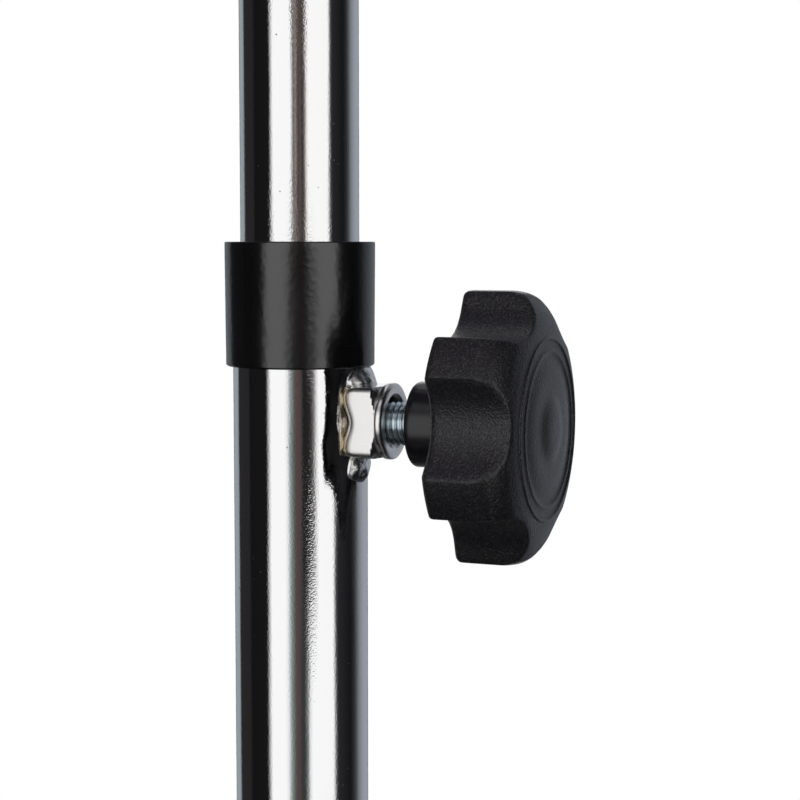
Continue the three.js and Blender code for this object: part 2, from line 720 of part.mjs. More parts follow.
/** Base casting: a ring on the tube's lower end with three lugs for the struts. */
function baseHub() {
  const { hubPivot, legs } = tripod;
  const { wall, below, above, lugRadius, rib, edge, shoulder } = hub;
  const low = hubPivot - below;
  const high = hubPivot + above;
  const lugHalf = legGap - gap;
  const lug = new THREE.Shape();
  lug.moveTo(sleeveBore - cutPast, hubPivot - lugRadius - rib);
  lug.lineTo(sleeveBore + wall, hubPivot - lugRadius - rib);
  lug.absarc(pivotRadius, hubPivot, lugRadius, -Math.PI / 2, Math.PI / 2);
  lug.lineTo(sleeveBore - cutPast, hubPivot + lugRadius);
  let body = withPlates(columnSleeve(wall, low, high, edge, shoulder), lug, -lugHalf, lugHalf);
  for (let i = 0; i < legs; i += 1) {
    body = body.subtract(pinHole(pivotRadius, hubPivot).rotate([0, 0, legDirection(i) / degrees]));
  }
  return surface(body.subtract(tubeBore(low, high)));
}

/** Sliding collar: a sleeve with a fork for each leg and a boss for its own clamp screw. */
function legCollar() {
  const { wall, below, above, earThick, earRadius, earEnd, earRise, edge, shoulder } = collar;
  const low = collarPivot - below;
  const high = collarPivot + above;
  const ear = new THREE.Shape();
  ear.moveTo(sleeveBore / 2 + cutPast, low + edge);
  ear.absarc(pivotRadius, collarPivot, earRadius, -Math.PI / 2, earEnd);
  ear.lineTo(sleeveBore / 2 + cutPast, collarPivot + earRise);
  let body = columnSleeve(wall, low, high, edge, shoulder);
  body = withPlates(body, ear, -legGap - earThick, -legGap);
  body = withPlates(body, ear, legGap, legGap + earThick);
  for (let i = 0; i < tripod.legs; i += 1) {
    const legRoom = solid(acrossLeg(bar(legGap, -legGap, legGap), pivotRadius, collarPivot));
    const cut = pinHole(pivotRadius, collarPivot).add(legRoom);
    body = body.subtract(cut.rotate([0, 0, legDirection(i) / degrees]));
  }
  const screwUp = collarPivot + collar.screwRise;
  const insertRoom = collarInsertRadius + gap;
  const boss = bar(insertRoom + collar.bossWall, sleeveBore, bossReach);
  const screwHole = bar(collarScrewRadius + pinGap, 0, bossReach + cutPast);
  const insertSeat = bar(insertRoom, bossReach - collarInsert.length - gap, bossReach + cutPast);
  const [boom, drill, seat] = [boss, screwHole, insertSeat].map(
    (shape) => solid(alongRadius(shape, backward).translate(0, 0, screwUp)));
  return surface(body.add(boom).subtract(drill).subtract(seat).subtract(tubeBore(low, high)));
}

/** The collar's own clamp, drawn along +Z and laid towards the back. */
function collarClamp() {
  const padStart = outerTube.radius + gap;
  const rodStart = padStart + collarPad.length + gap;
  const knobStart = bossReach + collar.knobStandOff;
  const insertStart = bossReach - collarInsert.length;
  const pieces = [
    ['collar_insert', ring(collarScrewRadius + pinGap, collarInsertRadius, insertStart,
      bossReach, facets.small), 'zinc'],
    ['collar_pad', pressurePad(collarScrewRadius, collarPad, padStart), 'nylon'],
    ['collar_screw', clampRod(collarScrewRadius, rodStart,
      knobStart + smallKnob.boreDepth - gap), 'zinc'],
  ];
  const group = new THREE.Group();
  for (const [name, geometry, finish] of pieces) {
    group.add(part(name, surface(solid(alongRadius(geometry, backward))), finish));
  }
  const knob = knobBody(smallKnob, collarScrewRadius + pinGap, facets.smallKnob)
    .translate([0, 0, knobStart]);
  group.add(part('collar_knob', alongRadius(surface(knob), backward), 'plastic'));
  group.position.z = collarPivot + collar.screwRise;
  return group;
}

/** Leg tube about its own axis: its round top end at the origin, the rest down -Z. */
function legTube() {
  const { tubeRadius, tubeWall, strut } = tripod;
  const bore = tubeRadius - tubeWall;
  const tube = solid(turned([
    ...profileArc(0, 0, tubeRadius, Math.PI / 2, 0, 3),
    [tubeRadius, -legLength],
    [bore, -legLength],
    ...profileArc(0, 0, bore, 0, Math.PI / 2, 2),
  ], facets.leg));
  return surface(tube.subtract(pinHole(0, 0)).subtract(pinHole(0, -strut)));
}

/** Strut: a pressed channel whose web stops short of both pivots, from the origin up +Z. */
function strutChannel() {
  const { strut } = tripod;
  const { thick, depth, webClear } = strutPlate;
  const outer = legGap + thick;
  const webTrim = tripod.tubeRadius + webClear;
  const blank = plate(beltOutline(strut, outer), -outer, outer, 3).rotateX(Math.PI / 2);
  const inside = new THREE.BoxGeometry(4 * outer, 2 * legGap, 2 * strut)
    .translate(2 * outer - legGap, 0, strut / 2);
  const openSide = new THREE.BoxGeometry(2 * outer, 4 * outer, 2 * strut)
    .translate(depth + outer, 0, strut / 2);
  let channel = solid(blank).subtract(solid(inside)).subtract(solid(openSide));
  for (const end of [0, strut]) {
    const trim = new THREE.BoxGeometry(4 * outer, 2 * legGap, 2 * webTrim).translate(0, 0, end);
    channel = channel.subtract(solid(trim)).subtract(pinHole(0, end));
  }
  return surface(channel);
}

/** Rubber foot on the leg's end, in the leg's plane, cut flat where it stands on the floor. */
function rubberFoot() {
  const { wall, sleeve, rib, ribs, edge } = foot;
  const bore = tripod.tubeRadius + gap;
  const radius = bore + wall;
  const top = -legLength + sleeve;
  const ribPitch = sleeve / (ribs + 2);
  const ribPoints = Array.from({ length: ribs }, (_, i) => top - ribPitch * (i + 1)).flatMap(
    (height) => [[radius, height + rib], [radius + rib, height], [radius, height - rib]]);
  const body = turned([
    [0, -legLength - gap],
    [bore, -legLength - gap],
    [bore, top],
    [radius - edge, top],
    [radius, top - edge],
    ...ribPoints,
    ...profileArc(0, -legToFoot, radius, 0, -Math.PI / 2, 3),
  ], facets.leg);
  const placed = body.rotateY(-tripod.spread).translate(pivotRadius, 0, collarPivot);
  const below = new THREE.BoxGeometry(2 * footReach, footReach, radius)
    .translate(footReach, 0, -radius / 2);
  return surface(solid(placed).subtract(solid(below)));
}

/** One leg with its strut, pins and foot, in its own vertical plane. */
function legGroup(index) {
  const number = index + 1;
  const { hubPivot, spread } = tripod;
  const leg = part(`leg_${number}`, legTube(), 'chrome');
  leg.position.set(pivotRadius, 0, collarPivot);
  leg.rotation.y = -spread;
  const strut = part(`strut_${number}`, strutChannel(), 'steel');
  strut.position.set(pivotRadius, 0, hubPivot);
  strut.rotation.y = spread;
  const pins = [
    ['hub_pin', legGap + strutPlate.thick, pivotRadius, hubPivot],
    ['strut_pin', legGap + strutPlate.thick, pivotRadius + strutRun, hubPivot + strutRise],
    ['collar_pin', legGap + collar.earThick, pivotRadius, collarPivot],
  ];
  const group = new THREE.Group();
  group.add(leg, strut, part(`foot_${number}`, rubberFoot(), 'rubber'));
  for (const [name, reach, x, z] of pins) {
    const pin = surface(solid(acrossLeg(legRivet(reach), x, z)));
    group.add(part(`${name}_${number}`, pin, 'steel'));
  }
  group.rotation.z = legDirection(index);
  return group;
}

// ---------------------------------------------------------------- the whole stand

const stand = new THREE.Group();
const nut = part('clamp_nut', clampNut(), 'chrome');
nut.position.z = screwHeight;
stand.add(
  part('column_tube', columnTube(), 'chrome'),
  part('column_ferrule', ferruleSleeve(), 'plastic'),
  nut,
  part('column_end_plug', columnEndPlug(), 'plastic'),
  columnClamp(),
  mast(),
  deskGroup(),
  part('base_hub', baseHub(), 'plastic'),
  part('leg_collar', legCollar(), 'plastic'),
  collarClamp(),
);
for (let i = 0; i < tripod.legs; i += 1) stand.add(legGroup(i));
stand.position.y = columnSetback;

const musicStand = new THREE.Group();
musicStand.add(stand);

export default musicStand;
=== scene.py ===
# %% [markdown]
# # A folding music stand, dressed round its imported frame
# The frame holds every working piece of the stand at its real size. This lesson gives each visible piece
# the smooth surface and the finish of the real one. Shapes are worked out in millimetres and become
# Blender's metres when their mesh is made.

# %% Load the frame
import math

import bpy
import mathutils
import numpy as np
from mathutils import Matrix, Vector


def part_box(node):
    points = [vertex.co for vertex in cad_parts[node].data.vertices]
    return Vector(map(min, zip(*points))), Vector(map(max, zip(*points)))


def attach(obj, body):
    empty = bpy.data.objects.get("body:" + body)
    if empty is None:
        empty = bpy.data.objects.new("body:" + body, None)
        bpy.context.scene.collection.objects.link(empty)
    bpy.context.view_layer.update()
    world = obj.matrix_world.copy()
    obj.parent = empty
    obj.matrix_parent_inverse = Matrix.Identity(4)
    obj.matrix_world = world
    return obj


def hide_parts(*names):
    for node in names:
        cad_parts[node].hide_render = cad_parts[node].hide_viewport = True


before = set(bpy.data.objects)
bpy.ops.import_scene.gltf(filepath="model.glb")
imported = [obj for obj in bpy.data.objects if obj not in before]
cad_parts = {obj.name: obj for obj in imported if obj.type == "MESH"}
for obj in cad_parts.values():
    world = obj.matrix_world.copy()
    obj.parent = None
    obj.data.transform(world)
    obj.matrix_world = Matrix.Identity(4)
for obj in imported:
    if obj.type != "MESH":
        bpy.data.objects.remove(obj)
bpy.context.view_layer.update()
MM = 0.001

# %% [markdown]
# ## Where things are
# The column's axis, the height of the clamp and every pivot are read from the boxes of the frame's own
# pieces, so nothing has to be fitted afterwards.

# %% Places read from the frame
X, Y, Z = 0, 1, 2
RIGHT, BACK, UP = (1, 0, 0), (0, 1, 0), (0, 0, 1)


def low(node):
    """Lowest corner of a node's box, in millimetres."""
    return np.array(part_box(node)[0]) / MM


def high(node):
    return np.array(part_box(node)[1]) / MM


def middle(node):
    return (low(node) + high(node)) / 2


column_foot = middle("column_tube") * (1, 1, 0)
clamp_height = middle("clamp_screw")[Z]
ferrule_top = high("column_ferrule")[Z]


def span(node, axis):
    """Where a node starts and stops along one axis, measured from the column's foot."""
    return low(node)[axis] - column_foot[axis], high(node)[axis] - column_foot[axis]


print("column foot", column_foot, "clamp at", clamp_height, "ferrule's top", ferrule_top)

# %% [markdown]
# ## Surfaces from whole arrays
# Nearly every piece of the stand is turned, drawn or moulded, so its skin is a grid: rings along the
# piece, points round each ring. A ring can be a circle, a star or a rounded square. Loops over vertices
# would be slow, so the faces are worked out for the whole grid at once.
#
# A piece is shaped on a bench of its own and then put on its seat: an origin, the direction its z goes
# along and the direction its x goes across. The bench coordinates stay with the mesh, because the finishes
# need them: a tube's marks run along the tube, however it is mounted.

# %% Seats and bench coordinates


def seat_axes(along, across):
    """Rows x, y, z: z goes along `along`, x along `across` as nearly as z allows, y completes the set."""
    z = np.array(along, float) / np.linalg.norm(along)
    x = np.array(across, float) - np.dot(across, z) * z
    x /= np.linalg.norm(x)
    return np.array([x, np.cross(z, x), z])


def placed_points(points, origin, along, across):
    """Brings points from the bench to the frame, in metres: origin + x*X + y*Y + z*Z."""
    return (np.asarray(origin) + points @ seat_axes(along, across)) * MM


def write_bench(mesh, origin, along, across):
    """Stores each vertex in its seat's own axes, in metres: the inverse of `placed_points`."""
    points = np.zeros(len(mesh.vertices) * 3)
    mesh.vertices.foreach_get("co", points)
    bench = (points.reshape(-1, 3) - np.asarray(origin) * MM) @ seat_axes(along, across).T
    if "bench" in mesh.attributes:
        mesh.attributes.remove(mesh.attributes["bench"])
    stored = mesh.attributes.new("bench", "FLOAT_VECTOR", "POINT")
    stored.data.foreach_set("vector", bench.astype(np.float32).ravel())


def new_object(name, data):
    made = bpy.data.objects.new(name, data)
    bpy.context.scene.collection.objects.link(made)
    return made


print("axes of an upright seat", seat_axes(UP, RIGHT).tolist())

# %% [markdown]
# Point j of ring i is vertex i*columns + j, and each quad joins (i, j), (i, j+1), (i+1, j+1), (i+1, j). The
# sum of a.(b x c) over the triangles is six times the volume. If it is negative, the skin is inside out,
# and every face is turned.

# %% From a grid of points to a mesh


def skin(name, grid, seat, loop=False, crease=38):
    """A closed mesh from rings of points, which either loop or have a fan of triangles at each end."""
    rows, columns = grid.shape[:2]
    bench = grid.reshape(-1, 3)
    point = np.arange(columns)
    right = (point + 1) % columns
    here = np.arange(rows if loop else rows - 1)[:, None] * columns
    there = (here + columns) % (rows * columns)
    quads = np.stack([here + point, here + right, there + right, there + point], -1).reshape(-1, 4)
    fans = np.zeros((0, 3), int)
    if not loop:
        tip, last = np.full(columns, len(bench)), (rows - 1) * columns
        fans = np.hstack([[right, point, tip], [last + point, last + right, tip + 1]]).T
        bench = np.vstack([bench, grid[0].mean(0), grid[-1].mean(0)])
    points = placed_points(bench, *seat)
    triangles = np.vstack([quads[:, :3], quads[:, [0, 2, 3]], fans])
    a, b, c = (points[triangles[:, k]] for k in range(3))
    if np.einsum("ij,ij", a, np.cross(b, c)) < 0:
        quads, fans = quads[:, ::-1], fans[:, ::-1]
    mesh = bpy.data.meshes.new(name)
    mesh.from_pydata(points, [], quads.tolist() + fans.tolist())
    write_bench(mesh, *seat)
    mesh.shade_smooth()
    mesh.set_sharp_from_angle(angle=math.radians(crease))
    return new_object(name, mesh)


# %% [markdown]
# ### Turned pieces
# A lathe cuts a profile that is carried round an axis. The profile is a list of corners, each with the
# size of its rounding, because no real edge is perfectly sharp, and it is the rounding that catches light.

# %% Turned pieces
SIDE_SHARE = 0.48       # a rounding takes at most this share of a side


def soft_profile(corners, steps):
    """A polyline of (radius, height, rounding) whose corners are rounded by quadratic arcs.

    A corner P with rounding q becomes the curve from P - q*d1 to P + q*d2 with P as its control point,
    where d1 and d2 are the directions of the sides that meet there.
    """
    corners = np.array(corners, float)
    out = [corners[0, :2]]
    t = np.linspace(0, 1, steps + 1)[:, None]
    for before, (*p, rounding), after in zip(corners[:-2, :2], corners[1:-1], corners[2:, :2]):
        if rounding <= 0:
            out.append(p)
            continue
        ends = []
        for side in (before - p, after - p):
            length = np.linalg.norm(side)
            ends.append(p + min(rounding, SIDE_SHARE * length) * side / length)
        out.extend((1 - t) ** 2 * ends[0] + 2 * t * (1 - t) * np.array(p) + t ** 2 * ends[1])
    out.append(corners[-1, :2])
    return np.array(out)


def rings_of(radius, height, columns):
    """The grid of rings (r cos t, r sin t, h); radius and height may change from ring to ring."""
    turn = np.linspace(0, 2 * math.pi, columns, endpoint=False)
    return np.stack([radius * np.cos(turn), radius * np.sin(turn), height + 0 * turn], -1)


def turned(name, corners, seat, columns=96, steps=4, loop=False):
    """A turned piece: each profile point (r, h) becomes the ring of radius r at height h."""
    profile = soft_profile(corners, steps)
    if loop:
        profile = profile[:-1]
    return skin(name, rings_of(profile[:, :1], profile[:, 1:], columns), seat, loop)


print("a rounded corner", soft_profile([(0, 0, 0), (1, 0, 0.2), (1, 1, 0)], 2).round(2).tolist())

# %% [markdown]
# ### From a shape to a finished piece
# A piece rides on the body it moves with, and stands for one of the frame's plain shapes, which is then
# hidden. Its finish is a material together with the name of a slot.

# %% Finished pieces


def finish_piece(piece, body, finish, *nodes):
    """Puts a finished piece on its body with its material, and hides the nodes it stands for; the slot's
    name in `finish` is not used.
    """
    material, slot = finish
    piece.data.materials.append(material)
    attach(piece, body)
    if nodes:
        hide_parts(*nodes)
    print(piece.name, "on", body, "faces", len(piece.data.polygons))

# %% [markdown]
# ## Finishes
# A finish is more than its colour: chrome shows the marks of the drawn tube below it and a few pits,
# moulded plastic the grain of its mould, powder coat a skin like orange peel. Each such effect is a node
# group, built once and placed in several materials with other values. A few short helpers make the nodes.

# %% Helpers: one node


def add(tree, kind, inputs=None, **settings):
    """One shader node with its settings; an input gets a plain value, or the socket that feeds it."""
    made = tree.nodes.new("ShaderNode" + kind)
    for key, value in settings.items():
        setattr(made, key, value)
    for key, value in (inputs or {}).items():
        if isinstance(value, bpy.types.NodeSocket):
            tree.links.new(value, made.inputs[key])
        else:
            made.inputs[key].default_value = value
    return made


def maths(tree, operation, a, b=0.0, **settings):
    """An operation on one or two numbers, each plain or a socket."""
    return add(tree, "Math", {0: a, 1: b}, operation=operation, **settings).outputs[0]


def vector_maths(tree, operation, a, b=(0, 0, 0)):
    return add(tree, "VectorMath", {0: a, 1: b}, operation=operation).outputs


def stretched(tree, vector, scale):
    """The vector times a scale of its own along each axis."""
    return vector_maths(tree, "MULTIPLY", vector, scale)["Vector"]


# %% [markdown]
# Nearly every effect below brings a value into a range, asks for noise or mixes two colours. With these
# three as functions, a material reads as a list of what it does.

# %% Helpers: ranges, noise and colour


def spread(tree, value, low_end, high_end, start=0.0, stop=1.0, **settings):
    """Maps a value that runs from start to stop on to low_end to high_end, and holds it between them."""
    ends = {"Value": value, "From Min": start, "From Max": stop, "To Min": low_end, "To Max": high_end}
    return add(tree, "MapRange", ends, **settings).outputs[0]


def noise(tree, vector, scale, detail, roughness=0.5):
    """Noise with `scale` waves to the metre, and finer ones on them by detail and roughness."""
    found = {"Vector": vector, "Scale": scale, "Detail": detail, "Roughness": roughness}
    return add(tree, "TexNoise", found).outputs[0]


def mix_colour(tree, factor, first, second, **settings):
    """First where the factor is 0, second where it is 1; each is a socket or (red, green, blue)."""
    first, second = (end if isinstance(end, bpy.types.NodeSocket) else (*end, 1) for end in (first, second))
    return add(tree, "Mix", {0: factor, 6: first, 7: second}, data_type="RGBA", **settings).outputs[2]


# %% [markdown]
# A node group keeps an effect in one place. It takes the point on the surface and a few plain values, and
# gives masks or heights; the colours stay in the materials.

# %% Helpers: effects as node groups


def effect(name, inputs, outputs):
    """An empty node group: its tree, the sockets of its inputs, and a function that feeds an output."""
    tree = bpy.data.node_groups.new(name, "ShaderNodeTree")
    tree.interface.new_socket("Vector", in_out="INPUT", socket_type="NodeSocketVector")
    for label, value in inputs.items():
        tree.interface.new_socket(label, in_out="INPUT", socket_type="NodeSocketFloat").default_value = value
    for label in outputs:
        tree.interface.new_socket(label, in_out="OUTPUT", socket_type="NodeSocketFloat")
    given, result = tree.nodes.new("NodeGroupInput"), tree.nodes.new("NodeGroupOutput")
    return tree, given.outputs, lambda label, value: tree.links.new(value, result.inputs[label])


def use(tree, group, **values):
    """The outputs of one placed copy of an effect, with its values by socket name."""
    return add(tree, "Group", values, node_tree=group).outputs


# %% [markdown]
# ### Draw marks
# A steel tube is pulled through a die, which leaves hair-fine marks along it, and plating follows them.
# Noise that is squeezed round the tube and drawn out along it gives such marks. The scales count waves to
# the metre.

# %% Effect: draw marks
DRAW_MARKS, given, give = effect("draw marks", {"Across": 1500.0, "Along": 9.0}, ["Height", "Streak"])
squeeze = {"X": given["Across"], "Y": given["Across"], "Z": given["Along"]}
squeeze = add(DRAW_MARKS, "CombineXYZ", squeeze).outputs[0]
along_tube = stretched(DRAW_MARKS, given["Vector"], squeeze)
hairs = noise(DRAW_MARKS, along_tube, scale=1.0, detail=3.0, roughness=0.6)
broad_marks = noise(DRAW_MARKS, stretched(DRAW_MARKS, along_tube, (0.22, 0.22, 0.5)), scale=1.0, detail=2.0)
give("Height", maths(DRAW_MARKS, "ADD", hairs, broad_marks))
give("Streak", spread(DRAW_MARKS, hairs, 0.0, 1.0, start=0.56, stop=0.74))
print("draw marks", len(DRAW_MARKS.nodes), "nodes")

# %% [markdown]
# ### Pits
# Plating is thin, and small pits show as dark specks, a few to the centimetre, in loose clusters. They are
# discs round scattered cell points, kept only where a broad noise is high.

# %% Effect: pits
PITS, given, give = effect("pits", {"Cells": 520.0, "Size": 0.1}, ["Mask"])
cells = add(PITS, "TexVoronoi", {"Vector": given["Vector"], "Scale": given["Cells"]}).outputs
disc = maths(PITS, "LESS_THAN", cells["Distance"], given["Size"])
in_cluster = maths(PITS, "GREATER_THAN", noise(PITS, given["Vector"], scale=70.0, detail=2.0), 0.56)
give("Mask", maths(PITS, "MULTIPLY", disc, in_cluster))
print("pits", len(PITS.nodes), "nodes")

# %% [markdown]
# ### Skin of the plating
# Copper and nickel under the chrome grow unevenly, so the edge of a mirror image in it is feathered with
# fine grain, stronger in some places than in others. The height is a fine noise, turned up and down by a
# broad one that is stretched along the tube, plus half of a wave seven times as long as the grain.

# %% Effect: skin of the plating
PLATING, given, give = effect("plating skin", {}, ["Height"])
grains = noise(PLATING, given["Vector"], scale=2900.0, detail=1.0, roughness=0.6)
waves = noise(PLATING, stretched(PLATING, given["Vector"], (1.0, 1.0, 0.15)), scale=420.0, detail=1.0)
patches = noise(PLATING, stretched(PLATING, given["Vector"], (1.0, 1.0, 0.2)), scale=130.0, detail=2.0)
grainy = maths(PLATING, "MULTIPLY", grains, spread(PLATING, patches, 0.3, 0.9, start=0.42, stop=0.62))
give("Height", maths(PLATING, "ADD", grainy, maths(PLATING, "MULTIPLY", waves, 0.5)))
print("plating skin", len(PLATING.nodes), "nodes")

# %% [markdown]
# ### Mould grain
# The mould of a grip is spark-eroded, so the plastic has a skin of tiny rounded dimples. Noise plus the
# distance to scattered cell points gives them. A second output, a broad noise, tells shiny patches from
# dull ones.

# %% Effect: mould grain
MOULD_GRAIN, given, give = effect("mould grain", {"Fineness": 2600.0}, ["Height", "Patch"])
dimples = {"Vector": given["Vector"], "Scale": maths(MOULD_GRAIN, "MULTIPLY", given["Fineness"], 0.7)}
dimples = add(MOULD_GRAIN, "TexVoronoi", dimples).outputs["Distance"]
fine = noise(MOULD_GRAIN, given["Vector"], scale=given["Fineness"], detail=2.0)
give("Height", maths(MOULD_GRAIN, "ADD", fine, dimples))
give("Patch", noise(MOULD_GRAIN, given["Vector"], scale=45.0, detail=3.0))
print("mould grain", len(MOULD_GRAIN.nodes), "nodes")

# %% [markdown]
# ### Worn and highlighted edges
# Hands and carrying bags polish the edges of moulded plastic and rubber. On the grips the paler edges also
# stand in for the light that their ridges catch, so there the mask paints a highlight too. Cycles knows how
# sharply a surface bends, its pointiness: 0.5 on a flat, more on an edge. The mask rises from `Start` on and
# is broken up by noise. On a large flat sheet pointiness would show the sheet's few triangles, so the desk
# goes without it.

# %% Effect: worn and highlighted edges
EDGES, given, give = effect("worn and highlighted edges", {"Start": 0.53}, ["Mask"])
steepness = 14.0
excess = maths(EDGES, "SUBTRACT", add(EDGES, "NewGeometry").outputs["Pointiness"], given["Start"])
bent = maths(EDGES, "MULTIPLY", excess, steepness, use_clamp=True)
blotches = noise(EDGES, given["Vector"], scale=320.0, detail=4.0)
broken = spread(EDGES, blotches, 0.0, 1.0, start=0.42, stop=0.62)
give("Mask", maths(EDGES, "MULTIPLY", bent, broken))
print("worn and highlighted edges", len(EDGES.nodes), "nodes")

# %% [markdown]
# ### From effects to a finish
# Each finish below sets plain values on the shader's own sockets and feeds only what varies over the
# surface: colour, roughness and a bump. `new_finish` starts one and `feed` ends it.

# %% Start and end of a finish


def new_finish(name):
    """A new material, its node tree and the piece's own bench coordinates."""
    made = bpy.data.materials.new(name)
    made.use_nodes = True
    bench = add(made.node_tree, "Attribute", attribute_name="bench").outputs["Vector"]
    return made, made.node_tree, bench


def feed(made, colour, rough, height, relief, depth, **plain):
    """Feeds the shader its colour, roughness and a bump of `depth` mm; `plain` values don't vary."""
    tree = made.node_tree
    shader = tree.nodes["Principled BSDF"]
    bent = add(tree, "Bump", {"Height": height, "Strength": relief, "Distance": depth * MM})
    for label, socket in (("Base Color", colour), ("Roughness", rough), ("Normal", bent.outputs[0])):
        tree.links.new(socket, shader.inputs[label])
    for label, value in plain.items():
        shader.inputs[label.replace("_", " ")].default_value = value
    print("finish", made.name, "with", len(tree.nodes), "nodes")
    return made


# %% [markdown]
# ### Chrome
# Both tubes and the legs are drawn steel with bright plating: a mirror that is a little dull along its
# draw marks and at its pits. The nut and the weld beads got the same plating over a rougher skin. Low down
# on the nut, in the corner with the tube, a straw colour is painted on: a painted warm reflection of what
# the nut and the tube mirror into each other there.

# %% Chrome finishes
PIT_SHADE, WARM_REFLECTION, REFLECTION_FADE, PIT_ROUGHNESS = (0.25, 0.24, 0.23), (0.62, 0.52, 0.36), 0.9, 0.5


def chrome_finish(name, tone, rough, relief, pit_size, reflection_below=None):
    """Plated steel; low on the piece, below the height in the last argument (millimetres on the bench), a
    warm reflection is painted on in straw colour.
    """
    made, tree, bench = new_finish(name)
    pit = use(tree, PITS, Vector=bench, Size=pit_size)["Mask"]
    colour = mix_colour(tree, pit, tone, np.multiply(tone, PIT_SHADE))
    # Painted warm reflection: below the given height the plating's colour is blended into straw.
    if reflection_below:
        height = add(tree, "SeparateXYZ", {0: bench}).outputs[Z]
        reflection_share = spread(tree, height, 1.0, 0.0, (reflection_below - REFLECTION_FADE) * MM, reflection_below * MM)
        colour = mix_colour(tree, reflection_share, colour, WARM_REFLECTION)
    streaks = spread(tree, use(tree, DRAW_MARKS, Vector=bench)["Streak"], *rough)
    dull = maths(tree, "MAXIMUM", streaks, maths(tree, "MULTIPLY", pit, PIT_ROUGHNESS))
    return feed(made, colour, dull, use(tree, PLATING, Vector=bench)["Height"], relief, 0.05, Metallic=1.0)


CHROME = chrome_finish("chrome_tube", (0.93, 0.93, 0.935), rough=(0.02, 0.06), relief=0.5,
                       pit_size=0.075), "chrome"
# The nut's foot gets a painted warm reflection in straw colour.
NUT_CHROME = chrome_finish("chrome_nut", (0.93, 0.912, 0.905), rough=(0.22, 0.25), relief=0.22,
                           pit_size=0.06, reflection_below=12.8), "chrome"
WELD = chrome_finish("weld_bead", (0.97, 0.97, 0.97), rough=(0.27, 0.38), relief=0.3,
                     pit_size=0.08), "chrome"

# %% [markdown]
# ### Zinc and satin steel
# The screws, the bolt and the washer are zinc-plated, which is blue-white and grey in patches. Rivets and
# struts are plain steel with a soft shine, streaked the way they were rolled.

# %% Zinc and steel finishes
STREAK_SHADE = 0.72


def grained_finish(name, fineness, dark, pale, rough, relief, depth, worn=None, by="Patch", **plain):
    """Two tones and a roughness in patches on a grain; `worn` is the colour that rubbing gives the edges."""
    made, tree, bench = new_finish(name)
    grain = use(tree, MOULD_GRAIN, Vector=bench, Fineness=fineness)
    colour = mix_colour(tree, grain[by], dark, pale)
    if worn:
        colour = mix_colour(tree, use(tree, EDGES, Vector=bench, Start=0.52)["Mask"], colour, worn)
    return feed(made, colour, spread(tree, grain["Patch"], *rough), grain["Height"], relief, depth, **plain)


def steel_finish(name, tone, along):
    """Plain steel; its marks have STREAK_SHADE of its tone, and `along` of their waves go to the metre."""
    made, tree, bench = new_finish(name)
    marks = use(tree, DRAW_MARKS, Vector=bench, Across=900.0, Along=along)
    colour = mix_colour(tree, marks["Streak"], tone, np.multiply(tone, STREAK_SHADE))
    rough = spread(tree, marks["Height"], 0.22, 0.42, start=0.6, stop=1.4)
    return feed(made, colour, rough, marks["Height"], relief=0.1, depth=0.03, Metallic=1.0)


ZINC = grained_finish("zinc_screw", fineness=1400.0, dark=(0.68, 0.8, 0.87), pale=(0.9, 0.97, 1.0),
                      rough=(0.12, 0.3), relief=0.12, depth=0.02, Metallic=1.0), "zinc"
RIVET_STEEL = steel_finish("satin_steel", (0.62, 0.62, 0.61), along=60.0), "rivet_steel"
STRUT_STEEL = steel_finish("strut_steel", (0.7, 0.7, 0.71), along=14.0), "strut_steel"

# %% [markdown]
# ### Moulded plastic
# A grip is black plastic with a fine grain, in some patches duller than in others. The grain's tips are
# painted paler as glints, and its edges are paler, partly from wear and partly as a painted highlight. Its
# stem comes from a polished part of the mould, so it has no grain.
# The ferrule is almost smooth, and nylon is milky: the same finish with other values.

# %% Plastic finishes
# The second and third values paint light: a paler tone at the grain's tips for glints, and one at sharp
# edges for wear and a highlight together.
SHADE, GRAIN_GLINT, EDGE_WEAR_AND_HIGHLIGHT, STEM_ROUGHNESS, PATCHES = 0.18, (0.03, 0.028, 0.031), 0.012, 0.2, (0.3, 0.7)


def plastic_finish(name, tone=(0.0058, 0.0047, 0.0066), rough=(0.25, 0.35), fineness=3800.0, relief=1.0,
                   glints=0.42, gloss=0.5, sheen=0.02, smooth_stem=None):
    """A moulded finish; `smooth_stem` is the radius and height in millimetres of a stem without grain."""
    made, tree, bench = new_finish(name)
    grain = use(tree, MOULD_GRAIN, Vector=bench, Fineness=fineness)
    matt, height = spread(tree, grain["Patch"], *rough, *PATCHES), grain["Height"]
    tip = spread(tree, height, 0.0, glints, start=1.02, stop=1.3)
    if smooth_stem:
        from_axis = vector_maths(tree, "LENGTH", stretched(tree, bench, (1, 1, 0)))["Value"]
        up_stem = add(tree, "SeparateXYZ", {0: bench}).outputs[Z]
        inside = [maths(tree, "LESS_THAN", value, limit * MM)
                  for value, limit in zip((from_axis, up_stem), smooth_stem)]
        stem = maths(tree, "MULTIPLY", *inside)
        grained = maths(tree, "SUBTRACT", 1.0, stem)
        height, tip, matt = (maths(tree, "MULTIPLY", value, grained) for value in (height, tip, matt))
        matt = maths(tree, "ADD", matt, maths(tree, "MULTIPLY", stem, STEM_ROUGHNESS))
    colour = mix_colour(tree, grain["Patch"], np.multiply(tone, 1 - SHADE), np.multiply(tone, 1 + SHADE))
    # Painted glints: the grain's highest points are made paler.
    colour = mix_colour(tree, tip, colour, np.add(tone, GRAIN_GLINT))
    # Sharp edges are made paler: partly wear, partly a painted highlight where the ridges catch light.
    edge = use(tree, EDGES, Vector=bench, Start=0.515)["Mask"]
    return feed(made, mix_colour(tree, edge, colour, np.add(tone, EDGE_WEAR_AND_HIGHLIGHT)), matt, height, relief, 0.06,
                IOR=1.56, Specular_IOR_Level=gloss, Sheen_Weight=sheen, Sheen_Roughness=0.45)


